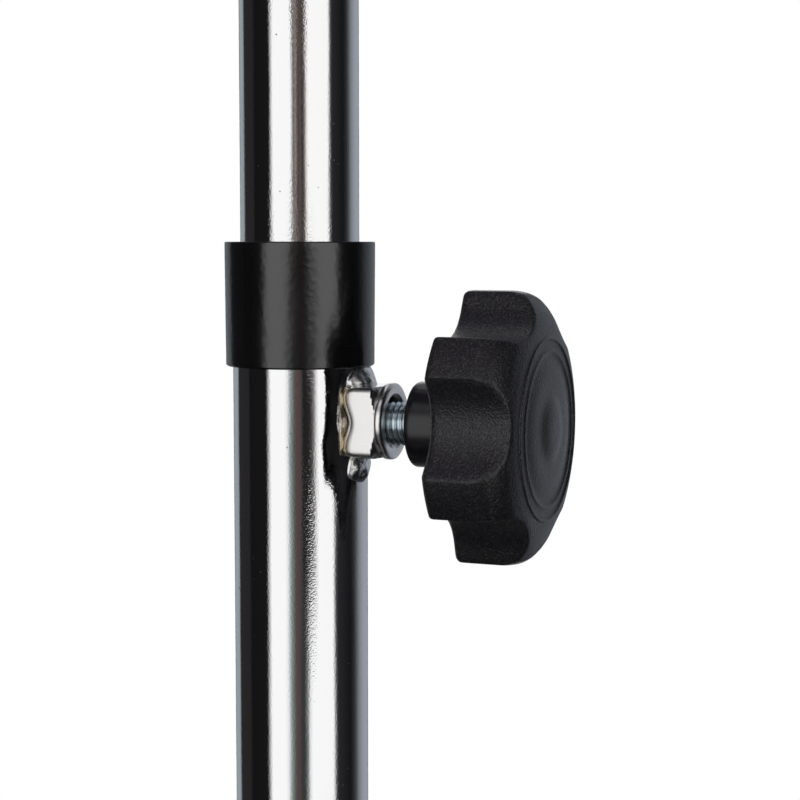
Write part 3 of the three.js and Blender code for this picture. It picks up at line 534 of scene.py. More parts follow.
GRIP = plastic_finish("grip_plastic", smooth_stem=(8.1, 17)), "black_plastic"
SATIN_PLASTIC = plastic_finish("satin_plastic", (0.003, 0.0026, 0.0031), (0.16, 0.22), fineness=1100.0,
                               relief=0.3, glints=0.0, gloss=1.0, sheen=0.0), "black_plastic"
NYLON = plastic_finish("nylon", (0.62, 0.6, 0.55), (0.4, 0.5), fineness=1200.0, relief=0.05, glints=0.0,
                       sheen=0.0), "nylon"

# %% [markdown]
# ### Powder coat, rubber and fibre
# The desk's paint is baked powder, which flows out to a skin like orange peel, with a few long scuffs from
# books. Rubber is duller and goes grey where it is rubbed, and the friction washers are red-brown fibre.

# %% Other finishes


def powder_coat_finish(name):
    made, tree, bench = new_finish(name)
    grain = use(tree, MOULD_GRAIN, Vector=bench, Fineness=1100.0)
    scuff = use(tree, DRAW_MARKS, Vector=bench, Across=420.0, Along=30.0)["Streak"]
    colour = mix_colour(tree, grain["Patch"], (0.013, 0.013, 0.0145), (0.018, 0.018, 0.0195))
    colour = mix_colour(tree, scuff, colour, (0.021, 0.021, 0.022))
    polished = maths(tree, "MULTIPLY", scuff, 0.05)
    rough = maths(tree, "SUBTRACT", spread(tree, grain["Patch"], 0.42, 0.5, *PATCHES), polished)
    return feed(made, colour, rough, grain["Height"], relief=0.5, depth=0.08)


COAT = powder_coat_finish("desk_powder_coat"), "desk_paint"
RUBBER = grained_finish(
    "foot_rubber", fineness=1700.0, dark=(0.012, 0.012, 0.013), pale=(0.026, 0.025, 0.024),
    rough=(0.66, 0.86, *PATCHES), relief=0.4, depth=0.06, worn=(0.06, 0.058, 0.055)), "rubber"
FIBRE = grained_finish(
    "friction_fibre", fineness=900.0, dark=(0.09, 0.04, 0.025), pale=(0.2, 0.1, 0.06),
    rough=(0.7, 0.9, *PATCHES), relief=0.4, depth=0.08, by="Height"), "fibre"

# %% [markdown]
# ## The column
# The column is two steel tubes that slide one in the other. What the workshop drills or cuts is a boolean
# here: a body, and the tool that goes through it. The same three functions later join moulded shapes.

# %% Joining, cutting and drilling
CENTRE = 0.05       # radius of the innermost ring of a solid turned piece, which a fan then closes


def upright(height=0.0):
    """Seat on the column's axis at a height."""
    return column_foot + [0, 0, height], UP, RIGHT


def bake(piece):
    """Turns a piece's modifiers into its plain mesh."""
    bpy.context.view_layer.update()
    mesh = bpy.data.meshes.new_from_object(piece.evaluated_get(bpy.context.evaluated_depsgraph_get()))
    piece.modifiers.clear()
    piece.data = mesh


def combine(piece, tool, operation):
    """Joins a tool body to a piece, or cuts it away, or keeps what both share; the tool is used up."""
    step = piece.modifiers.new("shape", "BOOLEAN")
    step.object, step.operation, step.solver = tool, operation, "EXACT"
    bake(piece)
    bpy.data.objects.remove(tool)


def rod(radius, start, stop, seat, columns=48):
    """A plain round body to join or to cut with."""
    corners = [(CENTRE, start, 0), (radius, start, 0), (radius, stop, 0), (CENTRE, stop, 0)]
    return turned("rod", corners, seat, columns)


def drill(piece, radius, origin, direction, reach=60, columns=48):
    combine(piece, rod(radius, -reach, reach, (origin, direction, UP), columns), "DIFFERENCE")


print("an upright seat on the column", upright())

# %% [markdown]
# A tube could be a cylinder with its wall from a modifier. A closed section that is carried round the axis
# gives the bore and the broken edges at once, and its even rings keep the reflections straight. The
# clamp's screw needs a hole in the near wall, and a few more rings close to it keep its surface smooth.

# %% Tubes
TUBE_WALL, TUBE_EDGE, RING_STEP, TUBE_COLUMNS, SCREW_HOLE = 1.2, 0.25, 40, 144, 4.3
screw_axis = column_foot + [0, 0, clamp_height]


def half_wide(node):
    return (high(node)[X] - low(node)[X]) / 2


def tube(name, node, more=()):
    """A tube: up the outside in even steps, and at the `more` heights, and down the inside."""
    start, stop = span(node, Z)
    radius, length, edge = half_wide(node), stop - start, TUBE_EDGE
    bore = radius - TUBE_WALL
    even = np.linspace(0, length, max(2, round(length / RING_STEP)) + 1)[1:-1]
    outside = [(radius, h, 0) for h in (edge, *np.sort([*even, *more]), length - edge)]
    foot, top = ([(bore + edge, h, 0), (radius - edge, h, 0)] for h in (0, length))
    section = foot + outside + top[::-1] + [(bore, length - edge, 0), (bore, edge, 0)] + foot[:1]
    return turned(name, section, upright(start), TUBE_COLUMNS, loop=True)


column_radius, mast_radius = half_wide("column_tube"), half_wide("mast_tube")
column_low = low("column_tube")[Z]
near_hole = clamp_height - column_low + np.array([-6, -4.6, -3, -1, 1, 3, 4.6, 6])
column = tube("column", "column_tube", near_hole)
drill(column, SCREW_HOLE, screw_axis + [40 + column_radius, 0, 0], RIGHT)
write_bench(column.data, *upright(column_low))
finish_piece(column, "column", CHROME, "column_tube")
finish_piece(tube("mast", "mast_tube"), "mast", CHROME, "mast_tube")

# %% [markdown]
# ## The ferrule
# A moulded cap covers the cut end of the outer tube and wipes the inner one. It widens slightly to the
# top, because it leaves its mould that way, and its lip closes on the inner tube.

# %% Ferrule
GAP, LIP = 0.3, 3       # running gap between a moulded piece and a tube; height of the ferrule's lip
ferrule_low, ferrule_radius = low("column_ferrule")[Z], half_wide("column_ferrule")
ferrule_tall = ferrule_top - ferrule_low
sleeve_bore, lip_bore, lip_low = column_radius + GAP, mast_radius + GAP, ferrule_tall - LIP
ferrule = turned("ferrule", [
    (sleeve_bore, 0, 0), (ferrule_radius - 0.35, 0, 0.12), (ferrule_radius - 0.14, 0.25, 0.15),
    (ferrule_radius - 0.1, 6, 0), (ferrule_radius - 0.05, 14, 0), (ferrule_radius, ferrule_tall - 1.2, 0),
    (ferrule_radius, ferrule_tall, 0.32), (lip_bore, ferrule_tall, 0.3), (lip_bore, lip_low, 0),
    (sleeve_bore, lip_low, 0), (sleeve_bore, 0, 0),
], upright(ferrule_low), TUBE_COLUMNS, loop=True)
finish_piece(ferrule, "column", SATIN_PLASTIC, "column_ferrule")

# %% [markdown]
# ## The weld nut
# A square nut stands on the tube and takes the clamp's screw. Its outer end is turned to a short round
# collar, and its foot is hollowed, so that it rests on two feet. A cube with a bevel would miss the two
# things that make it look real: the flats end in curves where the lathe cut the collar, and the foot
# follows the tube. So it is one stack of rings, from tables of measured rings and the block's outline: in
# polar form it is a rounded square, |u|^n + |v|^n = half^n.

# %% Rings of the weld nut
NUT_HALF, NUT_POWER, NUT_COLUMNS, NUT_HOLE = 6.5, 11, 384, 4.35
SHOULDER, TOP_SHARE = 2.45, 0.8
# Rings of the block: (share of its height, inset); towards the end: (distance below it, radius).
BLOCK = [(0, 0.9), (0.015, 0.55), (0.045, 0.28), (0.09, 0.1), (0.14, 0.02), (0.3, 0), (0.55, 0),
         (TOP_SHARE, 0)]
LIMITS = [(2.3, 8.6), (2.0, 7.8), (1.75, 7.2), (1.6, 6.95)]
COLLAR = [(1.5, 6.8), (1.4, 6.85), (1.3, 7.0), (1.15, 7.05), (0.5, 7.05), (0.25, 6.95), (0.08, 6.7),
          (0.0, 6.3), (0.0, 5.3), (0.05, 5.1), (0.6, 4.5), (1.0, NUT_HOLE)]


def ring_grid(rings, columns):
    """A grid from rings of (radius, height); each is one number or changes round the ring."""
    radius, height = (np.stack([np.broadcast_to(ring[k], columns) for ring in rings]) for k in (0, 1))
    return rings_of(radius, height, columns)


turn = np.linspace(0, 2 * math.pi, NUT_COLUMNS, endpoint=False)
powers = np.abs(np.cos(turn)) ** NUT_POWER + np.abs(np.sin(turn)) ** NUT_POWER
block = NUT_HALF / powers ** (1 / NUT_POWER)
print("half of the block across flats", block.min().round(2), "and across corners", block.max().round(2))

# %% [markdown]
# Near the tube the block is inset, ring by ring, for its rounded edge; towards the end its radius is held
# below a falling limit, which leaves the flats' ends curved; then come the collar's own rings, and the
# last ring goes down the threaded hole.

# %% Weld nut
NUT_LIFT = 0.38         # it was welded on a little above the hole
FOOT, HOLLOW, HOLLOW_HALF, EAR, EAR_FROM, EAR_WIDE, SKIM = 11.1, 1.15, 4.6, 1.1, 5.0, 1.7, 0.02


def nut_foot(radius):
    """Height of the underside over the column's axis: of the tube or of the feet, whichever is higher.

    The feet are at FOOT + HOLLOW*cos(90 deg * up/HOLLOW_HALF)^2 + EAR*((|up| - EAR_FROM)/EAR_WIDE)^2,
    with up/HOLLOW_HALF held between -1 and 1 and the ears' fraction between 0 and 1.
    """
    up, side = radius * np.cos(turn), radius * np.sin(turn)
    hollow = HOLLOW * np.cos(np.clip(up / HOLLOW_HALF, -1, 1) * math.pi / 2) ** 2
    ears = EAR * np.clip((np.abs(up) - EAR_FROM) / EAR_WIDE, 0, 1) ** 2
    tube_surface = np.sqrt(np.maximum(column_radius ** 2 - side ** 2, 0)) + SKIM
    return np.maximum(tube_surface, FOOT + hollow + ears)


nut_end, foot = span("clamp_nut", X)[1], nut_foot(block)
rings = [(block - inset, foot + (nut_end - SHOULDER - foot) * share / TOP_SHARE) for share, inset in BLOCK]
rings += [(np.minimum(block, limit), nut_end - below) for below, limit in LIMITS]
rings += [(radius, nut_end - below) for below, radius in COLLAR] + [(NUT_HOLE, nut_foot(NUT_HOLE))]
clamp_seat, nut_seat = (screw_axis, RIGHT, UP), (screw_axis + [0, 0, NUT_LIFT], RIGHT, UP)
nut = skin("weld_nut", ring_grid(rings, NUT_COLUMNS), nut_seat, loop=True, crease=24)
finish_piece(nut, "column", NUT_CHROME, "clamp_nut")

# %% [markdown]
# ## The weld beads
# The beads are molten steel that set smooth, with shallow lumps and a few drops. A noise texture would only
# tilt the light, but the lumps also show in the bead's outline, so they are real and have a formula here.

# %% Lumps of molten steel
SHORTER, LUMPS, SMALL_LUMPS, SMALL_LENGTH, DIP = 1.7, 0.2, 0.05, 1.2, 0.5


def lumps(up, side, seed, longest=3.6):
    """Sum of sin(2*pi*distance/length + phase) / 2^octave over nine random directions, divided by 5.

    `distance` runs along the direction; the length is `longest` in the first octave of three waves, and
    SHORTER times as short in each one after it.
    """
    chance = np.random.default_rng(seed)
    total = 0 * up
    for octave in range(3):
        for _ in range(3):
            heading, phase = chance.uniform(0, 2 * math.pi, 2)
            along = up * math.cos(heading) + side * math.sin(heading)
            total = total + np.sin(2 * math.pi * SHORTER ** octave / longest * along + phase) / 2 ** octave
    return total / 5


print("lumps at one place", lumps(np.zeros(1), np.zeros(1), 1).round(3))

# %% [markdown]
# Each bead is a patch on the tube: its thickness falls off from its middle as the square root of one minus
# the squared distance, and the lumps and drops ride on that. A last ring dips into the tube, so the bead
# grows out of it.

# %% Weld beads
AROUND, OUTWARD = 120, 30       # points round a bead, and rings from its middle to its edge
WOBBLES = [(0.05, 3, 1), (0.03, 5, 2)]      # of a bead's outline: (share, waves round it, times the seed)


def bead(name, middle_at, half_sizes, proud, lean, seed, drops):
    """A patch of weld on the tube: middle (up, arc to the player's side), half sizes and thickness.

    Its thickness is sqrt(1 - out^2) * (proud * (1 + lean*u) + lumps): `out` runs from 0 in the middle to 1
    at the edge, u from -1 at the lower end to 1 at the upper. Each drop (up, side, radius, height) adds
    height*exp(-(distance/radius)^2), which fades at the edge as well.
    """
    around = np.linspace(0, 2 * math.pi, AROUND, endpoint=False)[None, :]
    out = np.array([0.02, *np.linspace(0.08, 0.96, OUTWARD), 1.0, 1.0])[:, None]
    wobble = 1 + sum(share * np.sin(waves * around + times * seed) for share, waves, times in WOBBLES)
    up = middle_at[0] + out * half_sizes[0] * wobble * np.cos(around)
    side = middle_at[1] + out * half_sizes[1] * wobble * np.sin(around)
    fall = np.sqrt(np.maximum(1 - out ** 2, 0))
    lumpy = LUMPS * lumps(up, side, seed) + SMALL_LUMPS * lumps(up, side, seed + 1, SMALL_LENGTH)
    thick = fall * (proud * (1 + lean * (up - middle_at[0]) / half_sizes[0]) + lumpy)
    for drop_up, drop_side, drop_radius, drop_height in drops:
        off = np.hypot(up - drop_up, side - drop_side) / drop_radius
        thick = thick + np.sqrt(fall) * drop_height * np.exp(-off ** 2)
    thick = np.where(out >= 1, 0, thick)
    thick[-1] = -DIP
    radius, angle = column_radius + thick, side / column_radius
    grid = np.stack([up + 0 * angle, radius * np.sin(angle), radius * np.cos(angle)], -1)
    finish_piece(skin(name, grid, clamp_seat, crease=75), "column", WELD)


bead("weld_above", (7.6, 0.0), half_sizes=(3.5, 4.6), proud=2.3, lean=-0.62, seed=3,
     drops=[(7.6, 3.2, 0.8, 0.35), (8.0, 1.3, 0.7, 0.3)])
bead("weld_below", (-7.9, 0.9), half_sizes=(3.3, 4.0), proud=1.2, lean=0.25, seed=8,
     drops=[(-9.6, 0.9, 1.0, 0.6), (-8.2, 3.4, 0.8, 0.5)])

# %% [markdown]
# ## The clamp's screw
# A fine M8 thread is a ridge that climbs 1 mm a turn. On a turned grid it is a radius that depends on both
# the height and the turn: a triangle wave of (height / pitch - turn / full turn), flattened at its crests
# and at its roots. Its ends are chamfered, so that it starts easily in the nut.

# %% Threaded screw
PITCH, THREAD_DEPTH, STEPS_A_TURN, STEEPER, CREST = 1.0, 0.54, 12, 1.35, 0.15


def threaded(name, start, end, major, seat, columns, chamfer):
    """A threaded rod from start to end along the seat, `major` its radius over the crests."""
    height = np.arange(start, end, PITCH / STEPS_A_TURN)[:, None]
    around = np.linspace(0, 2 * math.pi, columns, endpoint=False)[None, :]
    wave = np.abs(((height / PITCH - around / (2 * math.pi)) % 1) * 2 - 1)
    radius = major - THREAD_DEPTH * PITCH * np.clip(wave * STEEPER - CREST, 0, 1)
    radius = np.minimum(radius, major - chamfer + np.minimum(height - start, end - height))
    return skin(name, rings_of(radius, height, columns), seat, crease=50)


screw = threaded("clamp_screw", *span("clamp_screw", X), major=3.96, seat=clamp_seat, columns=64,
                 chamfer=0.9)
finish_piece(screw, "clamp_knob", ZINC, "clamp_screw")

# %% [markdown]
# ## Star knobs
# A star grip is moulded in one piece: a stem, a domed head and hollow valleys for the fingers. The star's
# outline in polar form is the outer circle, cut by one valley circle per lobe; the smooth minimum rounds
# the edge between them. Every ring of the head is the smooth minimum of that outline and the dome's own
# radius at that height, so each valley runs out on the dome in a curve, as it does on the real grip.

# %% Outline of a star


def smooth_min(a, b, blend):
    """The lesser of a and b, rounded where they cross: mix(b, a, h) - blend*h*(1-h)."""
    h = np.clip(0.5 + 0.5 * (b - a) / blend, 0, 1)
    return b * (1 - h) + a * h - blend * h * (1 - h)


def star_outline(turn, radius, lobes, lobe_half, valley_depth, edge):
    """Distance from the axis to the star's outline; a valley faces turn 0, and angles are in degrees.

    A valley is an arc through the lobe edges whose floor lies valley_depth under the outer circle. At the
    angle a from its middle its radius is c*cos(a) - sqrt(q^2 - c^2*sin(a)^2), with c the distance to the
    arc's centre and q its radius.
    """
    step = 2 * math.pi / lobes
    half = step / 2 - math.radians(lobe_half)
    floor = radius - valley_depth
    sag = radius * math.cos(half) - floor
    arc_radius = ((radius * math.sin(half)) ** 2 + sag ** 2) / (2 * sag)
    centre = floor + arc_radius
    a = (turn + step / 2) % step - step / 2
    inside = arc_radius ** 2 - (centre * np.sin(a)) ** 2
    valley = np.where(inside > 0, centre * np.cos(a) - np.sqrt(np.maximum(inside, 0)), 2 * radius)
    return smooth_min(valley, radius, edge)


print("lobe and valley radius", star_outline(np.radians([30, 0]), 24.4, 6, 10.5, 5.2, 2.2).round(2))

# %% [markdown]
# ### From the stem to the face
# The rings start in the bore, go round the stem's end and up its outside to the floor of the dish, then
# out to the star's skirt, up its lobes and over the dome to the face with its shallow ring and its hub. The
# dome and the face are tables of the large grip, and a smaller grip scales them.

# %% Dome and face of the large grip
GRIP_RADIUS, GRIP_BACK, GRIP_LENGTH = 24.4, 9.3, 25
DOME = [(26.4, 16.0), (25.6, 17.2), (24.9, 18.5), (24.2, 20.0), (23.3, 21.3), (22.0, 22.5), (20.4, 23.5),
        (18.2, 24.2), (16.5, 24.5)]
FACE = [(16.45, 24.56), (16.3, 24.72), (16.1, 24.76), (15.9, 24.66), (15.7, 24.5), (14.6, 24.58),
        (14.2, 24.68), (14.0, 24.8), (13.8, 24.84), (13.6, 24.78), (13.4, 24.66), (13.2, 24.6),
        (12.8, 24.58), (12.2, 24.68), (11.4, 24.86), (10.2, 25.06), (8.8, 25.15), (7.4, 25.16),
        (6.4, 25.19), (5.6, 25.32), (4.8, 25.55), (3.8, 25.78), (2.6, 25.93), (1.3, 25.98), (0.2, 26.0)]
print("rings on the dome's line", len(DOME), "and on the face", len(FACE))

# %% [markdown]
# Subdivision would blur the valleys' run-out, and a boolean for each finger would leave a hard seam. One
# closed grid has neither, and the same function makes all three grips of the stand.

# %% Star grip
SKIRT, ROUNDING, DOME_BLEND, BORE_EDGE, STEM_EDGE, DISH_CONE = 2.3, 1.2, 1.1, 0.35, 0.5, 0.94


def star_grip(name, seat, columns, stem, stem_length, dish, bore, bore_depth, length, valley_at, **sizes):
    """A whole star grip along the seat from its stem's end; the sizes left over are the outline's.

    The stem and the bore are radii, and `dish` is how deep the hollow round the stem is.
    """
    scale, floor = sizes["radius"] / GRIP_RADIUS, stem_length + dish
    around = np.linspace(0, 2 * math.pi, columns, endpoint=False)
    star = star_outline(around - math.radians(valley_at), **sizes)
    skirt, rounding = SKIRT * scale, ROUNDING * scale

    def rise(height):
        """A height on the large grip's head, brought to this grip's own stem and length."""
        return stem_length + (height - GRIP_BACK) * (length - stem_length) / (GRIP_LENGTH - GRIP_BACK)

    rings = [(bore * 0.1, bore_depth), (bore, bore_depth), (bore, BORE_EDGE), (bore + BORE_EDGE, 0),
             (stem - STEM_EDGE, 0), (stem - 0.15, 0.12), (stem, STEM_EDGE)]
    rings += [(stem - 0.5 * scale * share, floor * share * DISH_CONE) for share in np.linspace(0.1, 1, 8)]
    rings += [(stem + 0.2, floor), (star - skirt - 2.0 * scale, floor),
              (star - skirt - 0.5 * scale, floor - 1.2 * scale), (star - skirt, stem_length + 0.3),
              (star - skirt + 0.3, stem_length)]
    rings += [(star - rounding * (1 - math.sin(step)), stem_length + rounding * (1 - math.cos(step)))
              for step in np.linspace(0, math.pi / 2, 6)]
    dome = np.array([(radius * scale, rise(height)) for radius, height in DOME]).T
    flank = np.linspace(stem_length + 1.6 * scale, dome[1, 0], 24, endpoint=False)
    rings += [(star, height) for height in flank]
    # The dome's line is filled in, six steps to a key, and evened out three times.
    keys = np.arange(len(DOME))
    fine = np.linspace(0, keys[-1], 6 * keys[-1] + 1)
    dome = np.stack([np.interp(fine, keys, row) for row in dome])
    for _ in range(3):
        dome[:, 1:-1] = (dome[:, :-2] + 2 * dome[:, 1:-1] + dome[:, 2:]) / 4
    rings += [(smooth_min(star, cap, DOME_BLEND * scale), height) for cap, height in dome.T]
    rings += [(radius * scale, rise(height)) for radius, height in FACE]
    return skin(name, ring_grid(rings, columns), seat, crease=40)


# %% [markdown]
# ### The clamp's knob
# The grip is pressed over the end of its screw, with the star turned to where it came to rest.

# %% The clamp's knob


def on_axis(node, axis, origin, along):
    """Seat whose origin is moved along an axis to where a node starts."""
    start = np.array(origin, float)
    start[axis] = low(node)[axis]
    return start, along, UP


big_grip = dict(columns=432, radius=24.4, lobes=6, lobe_half=10.5, valley_depth=5.2, edge=2.2, stem=7.8,
                stem_length=9.3, dish=6.5, bore=4.3, bore_depth=15, length=25, valley_at=85.5)
knob = star_grip("star_grip", on_axis("clamp_knob", X, screw_axis, RIGHT), **big_grip)
finish_piece(knob, "clamp_knob", GRIP, "clamp_knob")

# %% [markdown]
# ## Pad, bush and plug
# The screw presses on a small nylon button, which saves the plating of the inner tube. It is round, like
# every washer and bush, so a profile says everything, and two functions make all the buttons and washers.

# %% Clamp pad


def washer(name, inner, outer, start, stop, seat, edge=0.15):
    """A flat ring with its four edges broken; the section starts in the middle of one side."""
    side = ((inner + outer) / 2, start, 0)
    corners = [(outer, start, edge), (outer, stop, edge), (inner, stop, edge), (inner, start, edge)]
    return turned(name, [side, *corners, side], seat, columns=64, steps=3, loop=True)


def button(name, radius, start, stop, dome, seat):
    """A round pad whose far face is a low dome."""
    return turned(name, [(CENTRE, start, 0), (radius, start, 0.15), (radius, stop - dome, 0.3),
                         (0.55 * radius, stop - 0.15 * dome, dome), (CENTRE, stop, 0)], seat, columns=48)


pad = button("clamp_pad", 3.6, *span("clamp_pad", X), dome=0.5, seat=clamp_seat)
finish_piece(pad, "clamp_pad", NYLON, "clamp_pad")

# %% [markdown]
# A flanged nylon bush is pressed into the inner tube's lower end and keeps it centred in the outer one. It
# can't be seen from outside, but the frame has it, and a cut or a longer pull would show it.

# %% Guide bush
bush_low, bush_high = span("guide_bush", Z)
bush_rim, bush_shank = (radius - TUBE_WALL - GAP for radius in (column_radius, mast_radius))
bush_top, bush_tall = low("mast_tube")[Z] - GAP - bush_low, bush_high - bush_low
bush_bore = bush_shank - 2
bush = turned("guide_bush", [
    (bush_bore, 2, 0), (bush_bore, 0, 0.3), (bush_rim, 0, 0.6), (bush_rim, bush_top, 0.3),
    (bush_shank, bush_top, 0.2), (bush_shank, bush_tall, 0.5), (bush_bore, bush_tall, 0.3),
    (bush_bore, 2, 0)], upright(bush_low), columns=72, loop=True)
finish_piece(bush, "mast_carrier", NYLON, "guide_bush")

# %% [markdown]
# A moulded plug closes the outer tube's foot. It is hollow, because a thick wall would sink as it cools.

# %% End plug
plug_low, plug_high = span("column_end_plug", Z)
plug_wall, plug_flange = 2.4, 3
plug = turned("end_plug", [
    (CENTRE, plug_high - plug_wall, 0), (bush_rim - plug_wall, plug_high - plug_wall, 0.8),
    (bush_rim - plug_wall, plug_low, 0.3), (column_radius, plug_low, 0.6),
    (column_radius, plug_low + plug_flange, 0.3), (bush_rim, plug_low + plug_flange, 0.1),
    (bush_rim, plug_high, 0.8), (CENTRE, plug_high, 0)], upright())
finish_piece(plug, "column", SATIN_PLASTIC, "column_end_plug")

# %% [markdown]
# ## Pressed and moulded shapes
# Brackets, channels and lugs are flat outlines pushed along a line, joined or cut, with their edges
# broken at the end. `prism` makes such a body from one or more outlines, and `softened` rounds its edges.

# %% Outlines


def arc(u, v, radius, start, stop, steps=10):
    """Points of a circular arc in a plane; the angles are in degrees."""
    turn = np.radians(np.linspace(start, stop, steps + 1))
    return np.stack([u + radius * np.cos(turn), v + radius * np.sin(turn)], -1)


def belt(length, radius, steps=14):
    """Outline round two discs of one radius at (0, 0) and (0, length)."""
    return np.vstack([arc(0, 0, radius, 180, 360, steps), arc(0, length, radius, 0, 180, steps)])


def rectangle(u0, v0, u1, v1):
    return np.array([(u0, v0), (u1, v0), (u1, v1), (u0, v1)])


def rounded_box(u, v, radius):
    """Outline of a rectangle from (-u, -v) to (u, v) with rounded corners."""
    corners = ((1, -1, -90), (1, 1, 0), (-1, 1, 90), (-1, -1, 180))
    return np.vstack([arc(a * (u - radius), b * (v - radius), radius, start, start + 90, 8)
                      for a, b, start in corners])


print("a belt has", len(belt(10, 2)), "points")

# %% [markdown]
# No pressed or moulded edge is sharp. A bevel breaks it, and weighted normals keep the large faces flat.

# %% Prisms and their edges


def prism(name, outlines, start, stop, seat):
    """Bodies with the given outlines in the seat's x and y, reaching from start to stop along its z."""
    points, faces, offset = [], [], 0
    for outline in outlines:
        outline = np.asarray(outline, float)
        following = np.roll(outline, -1, 0)
        if (outline[:, 0] * following[:, 1] - following[:, 0] * outline[:, 1]).sum() < 0:
            outline = outline[::-1]
        count = len(outline)
        points += [np.column_stack([outline, np.full(count, height)]) for height in (start, stop)]
        ring = np.arange(count)
        right = (ring + 1) % count
        faces += (offset + np.stack([ring, right, count + right, count + ring], -1)).tolist()
        faces += [(offset + ring[::-1]).tolist(), (offset + count + ring).tolist()]
        offset += 2 * count
    mesh = bpy.data.meshes.new(name)
    mesh.from_pydata(placed_points(np.vstack(points), *seat), [], faces)
    return new_object(name, mesh)


def softened(piece, seat, width, segments=2):
    """Breaks a piece's sharp edges, and writes its coordinates in the seat's own axes for the finish."""
    edge, crease = piece.modifiers.new("edge", "BEVEL"), math.radians(38)
    edge.width, edge.segments, edge.limit_method, edge.angle_limit = width * MM, segments, "ANGLE", crease
    bake(piece)
    write_bench(piece.data, *seat)
    piece.data.shade_smooth()
    piece.data.set_sharp_from_angle(angle=crease)
    by_area = piece.modifiers.new("flat_faces", "WEIGHTED_NORMAL")
    by_area.keep_sharp, by_area.weight = True, 100
    bake(piece)


# %% [markdown]
# ## The desk
# The desk is one bent sheet with rounded upper corners and rows of slots that save weight. It leans back
# on a pressed bracket, whose ears close on a tongue at the mast's top. The tilt axis and the lean are read
# from the frame: the rivets at the bracket's corners lie along the desk.

# %% Desk frame of reference
tilt_axis = (middle("friction_washer_left") + middle("friction_washer_right")) / 2
desk_up = middle("desk_rivet_3") - middle("desk_rivet_1")
desk_up /= np.linalg.norm(desk_up)
desk_back = np.cross(desk_up, RIGHT)
side_seat = (tilt_axis, RIGHT, desk_back)      # x to the desk's back, y up along it, z to the right
face_seat = (tilt_axis, -desk_back, RIGHT)     # x to the right, y up along the desk, z towards the player
rivet_places = [(middle(node)[X], (middle(node) - tilt_axis) @ desk_up)
                for node in (f"desk_rivet_{k}" for k in (1, 2, 3, 4))]
print("tilt axis", tilt_axis, "desk up", desk_up, "rivets", rivet_places)

# %% [markdown]
# ### The bent sheet
# Its section, with the ledge for the sheets of music and a lip in front, is drawn from the side, pushed
# across the desk's width and cut to the outline of the front view, as a press tool would blank it.

# %% Desk sheet
half_width = high("desk_plate")[X]
sheet, bend, ledge_deep, lip_tall, desk_tall, under, corner = 1.2, 3.2, 48, 10, 330, -88, 34
sheet_back, desk_top, inner_bend = -33.3, under + desk_tall, bend - sheet
sheet_front = sheet_back - sheet
lip_front, lip_top, bend_height = sheet_front - ledge_deep, under + sheet + lip_tall, under + bend
back_bend, front_bend = (sheet_back - bend, bend_height), (lip_front + bend, bend_height)
side_outline = np.vstack([
    [(sheet_back, desk_top)], arc(*back_bend, bend, 0, -90), arc(*front_bend, bend, -90, -180),
    [(lip_front, lip_top), (lip_front + sheet, lip_top)], arc(*front_bend, inner_bend, 180, 270),
    arc(*back_bend, inner_bend, -90, 0), [(sheet_front, desk_top)]])
desk = prism("desk", [side_outline], -half_width, half_width, side_seat)
FRONT_LOW, FRONT_DEEP = -200, 120       # the front view's outline reaches past the ledge and its lip
face_outline = np.vstack([
    [(-half_width, FRONT_LOW), (half_width, FRONT_LOW)],
    *(arc(x, desk_top - corner, corner, start, start + 90, 16)
      for x, start in ((half_width - corner, 0), (corner - half_width, 90)))])
combine(desk, prism("outline", [face_outline], 0, FRONT_DEEP, face_seat), "INTERSECT")
print("desk without slots", len(desk.data.polygons))

# %% [markdown]
# Three rows of slots save weight and let the wind through. They stay clear of the bracket behind the
# sheet. All slots and the rivets' holes are punched in one go, which keeps the sheet in one clean piece.

# %% Slots and rivet holes
SLOT_HALF, SLOT_REACH, FIRST_ROW, ROW_STEP, SLOT_STEP = 6, 23, 52, 84, 50
BRACKET_HALF, BRACKET_REACH, HOLE, PUNCHED = 20, 42, 2.2, (20, 50)
slots = []
for row in range(3):
    centre = desk_top - FIRST_ROW - row * ROW_STEP
    reaches_bracket = centre - SLOT_HALF - SLOT_REACH <= BRACKET_REACH
    for across_desk in SLOT_STEP * np.arange(-4, 5):
        if not (reaches_bracket and abs(across_desk) - SLOT_HALF <= BRACKET_HALF):
            slots.append(belt(2 * SLOT_REACH, SLOT_HALF) + [across_desk, centre - SLOT_REACH])


def punch(piece, outlines):
    """Cuts outlines, and the four rivet holes, through whatever lies along the desk."""
    holes = [arc(x, y, HOLE, 0, 360, 20)[:-1] for x, y in rivet_places]
    combine(piece, prism("punch", outlines + holes, *PUNCHED, face_seat), "DIFFERENCE")


punch(desk, slots)
softened(desk, face_seat, width=0.3)
finish_piece(desk, "desk", COAT, "desk_plate")
print("slots", len(slots))

# %% [markdown]
# ### Bracket
# The bracket is a strip with two ears that was folded from one blank. Strip and ears are prisms that are
# joined, because a fold this tight looks like a corner.

# %% Bracket
STRIP_FRONT, STRIP_BACK, BOLT_ROOM = -33, -31, 3.3
EAR_INNER, EAR_THICK, EAR_RADIUS, EAR_HALF, OVERLAP = 7.0, 2.0, 11, 17, 0.5
strip = rounded_box(BRACKET_HALF, BRACKET_REACH, 8)
bracket = prism("bracket", [strip], -STRIP_BACK, -STRIP_FRONT, face_seat)
root = STRIP_FRONT + OVERLAP
ear_outline = np.vstack([[(root, -EAR_HALF)], arc(0, 0, EAR_RADIUS, -100, 100, 30), [(root, EAR_HALF)]])
for start in (-EAR_INNER - EAR_THICK, EAR_INNER):
    combine(bracket, prism("ear", [ear_outline], start, start + EAR_THICK, side_seat), "UNION")
punch(bracket, [])
drill(bracket, BOLT_ROOM, tilt_axis, RIGHT)
softened(bracket, face_seat, width=0.35)
finish_piece(bracket, "desk", COAT, "desk_bracket")

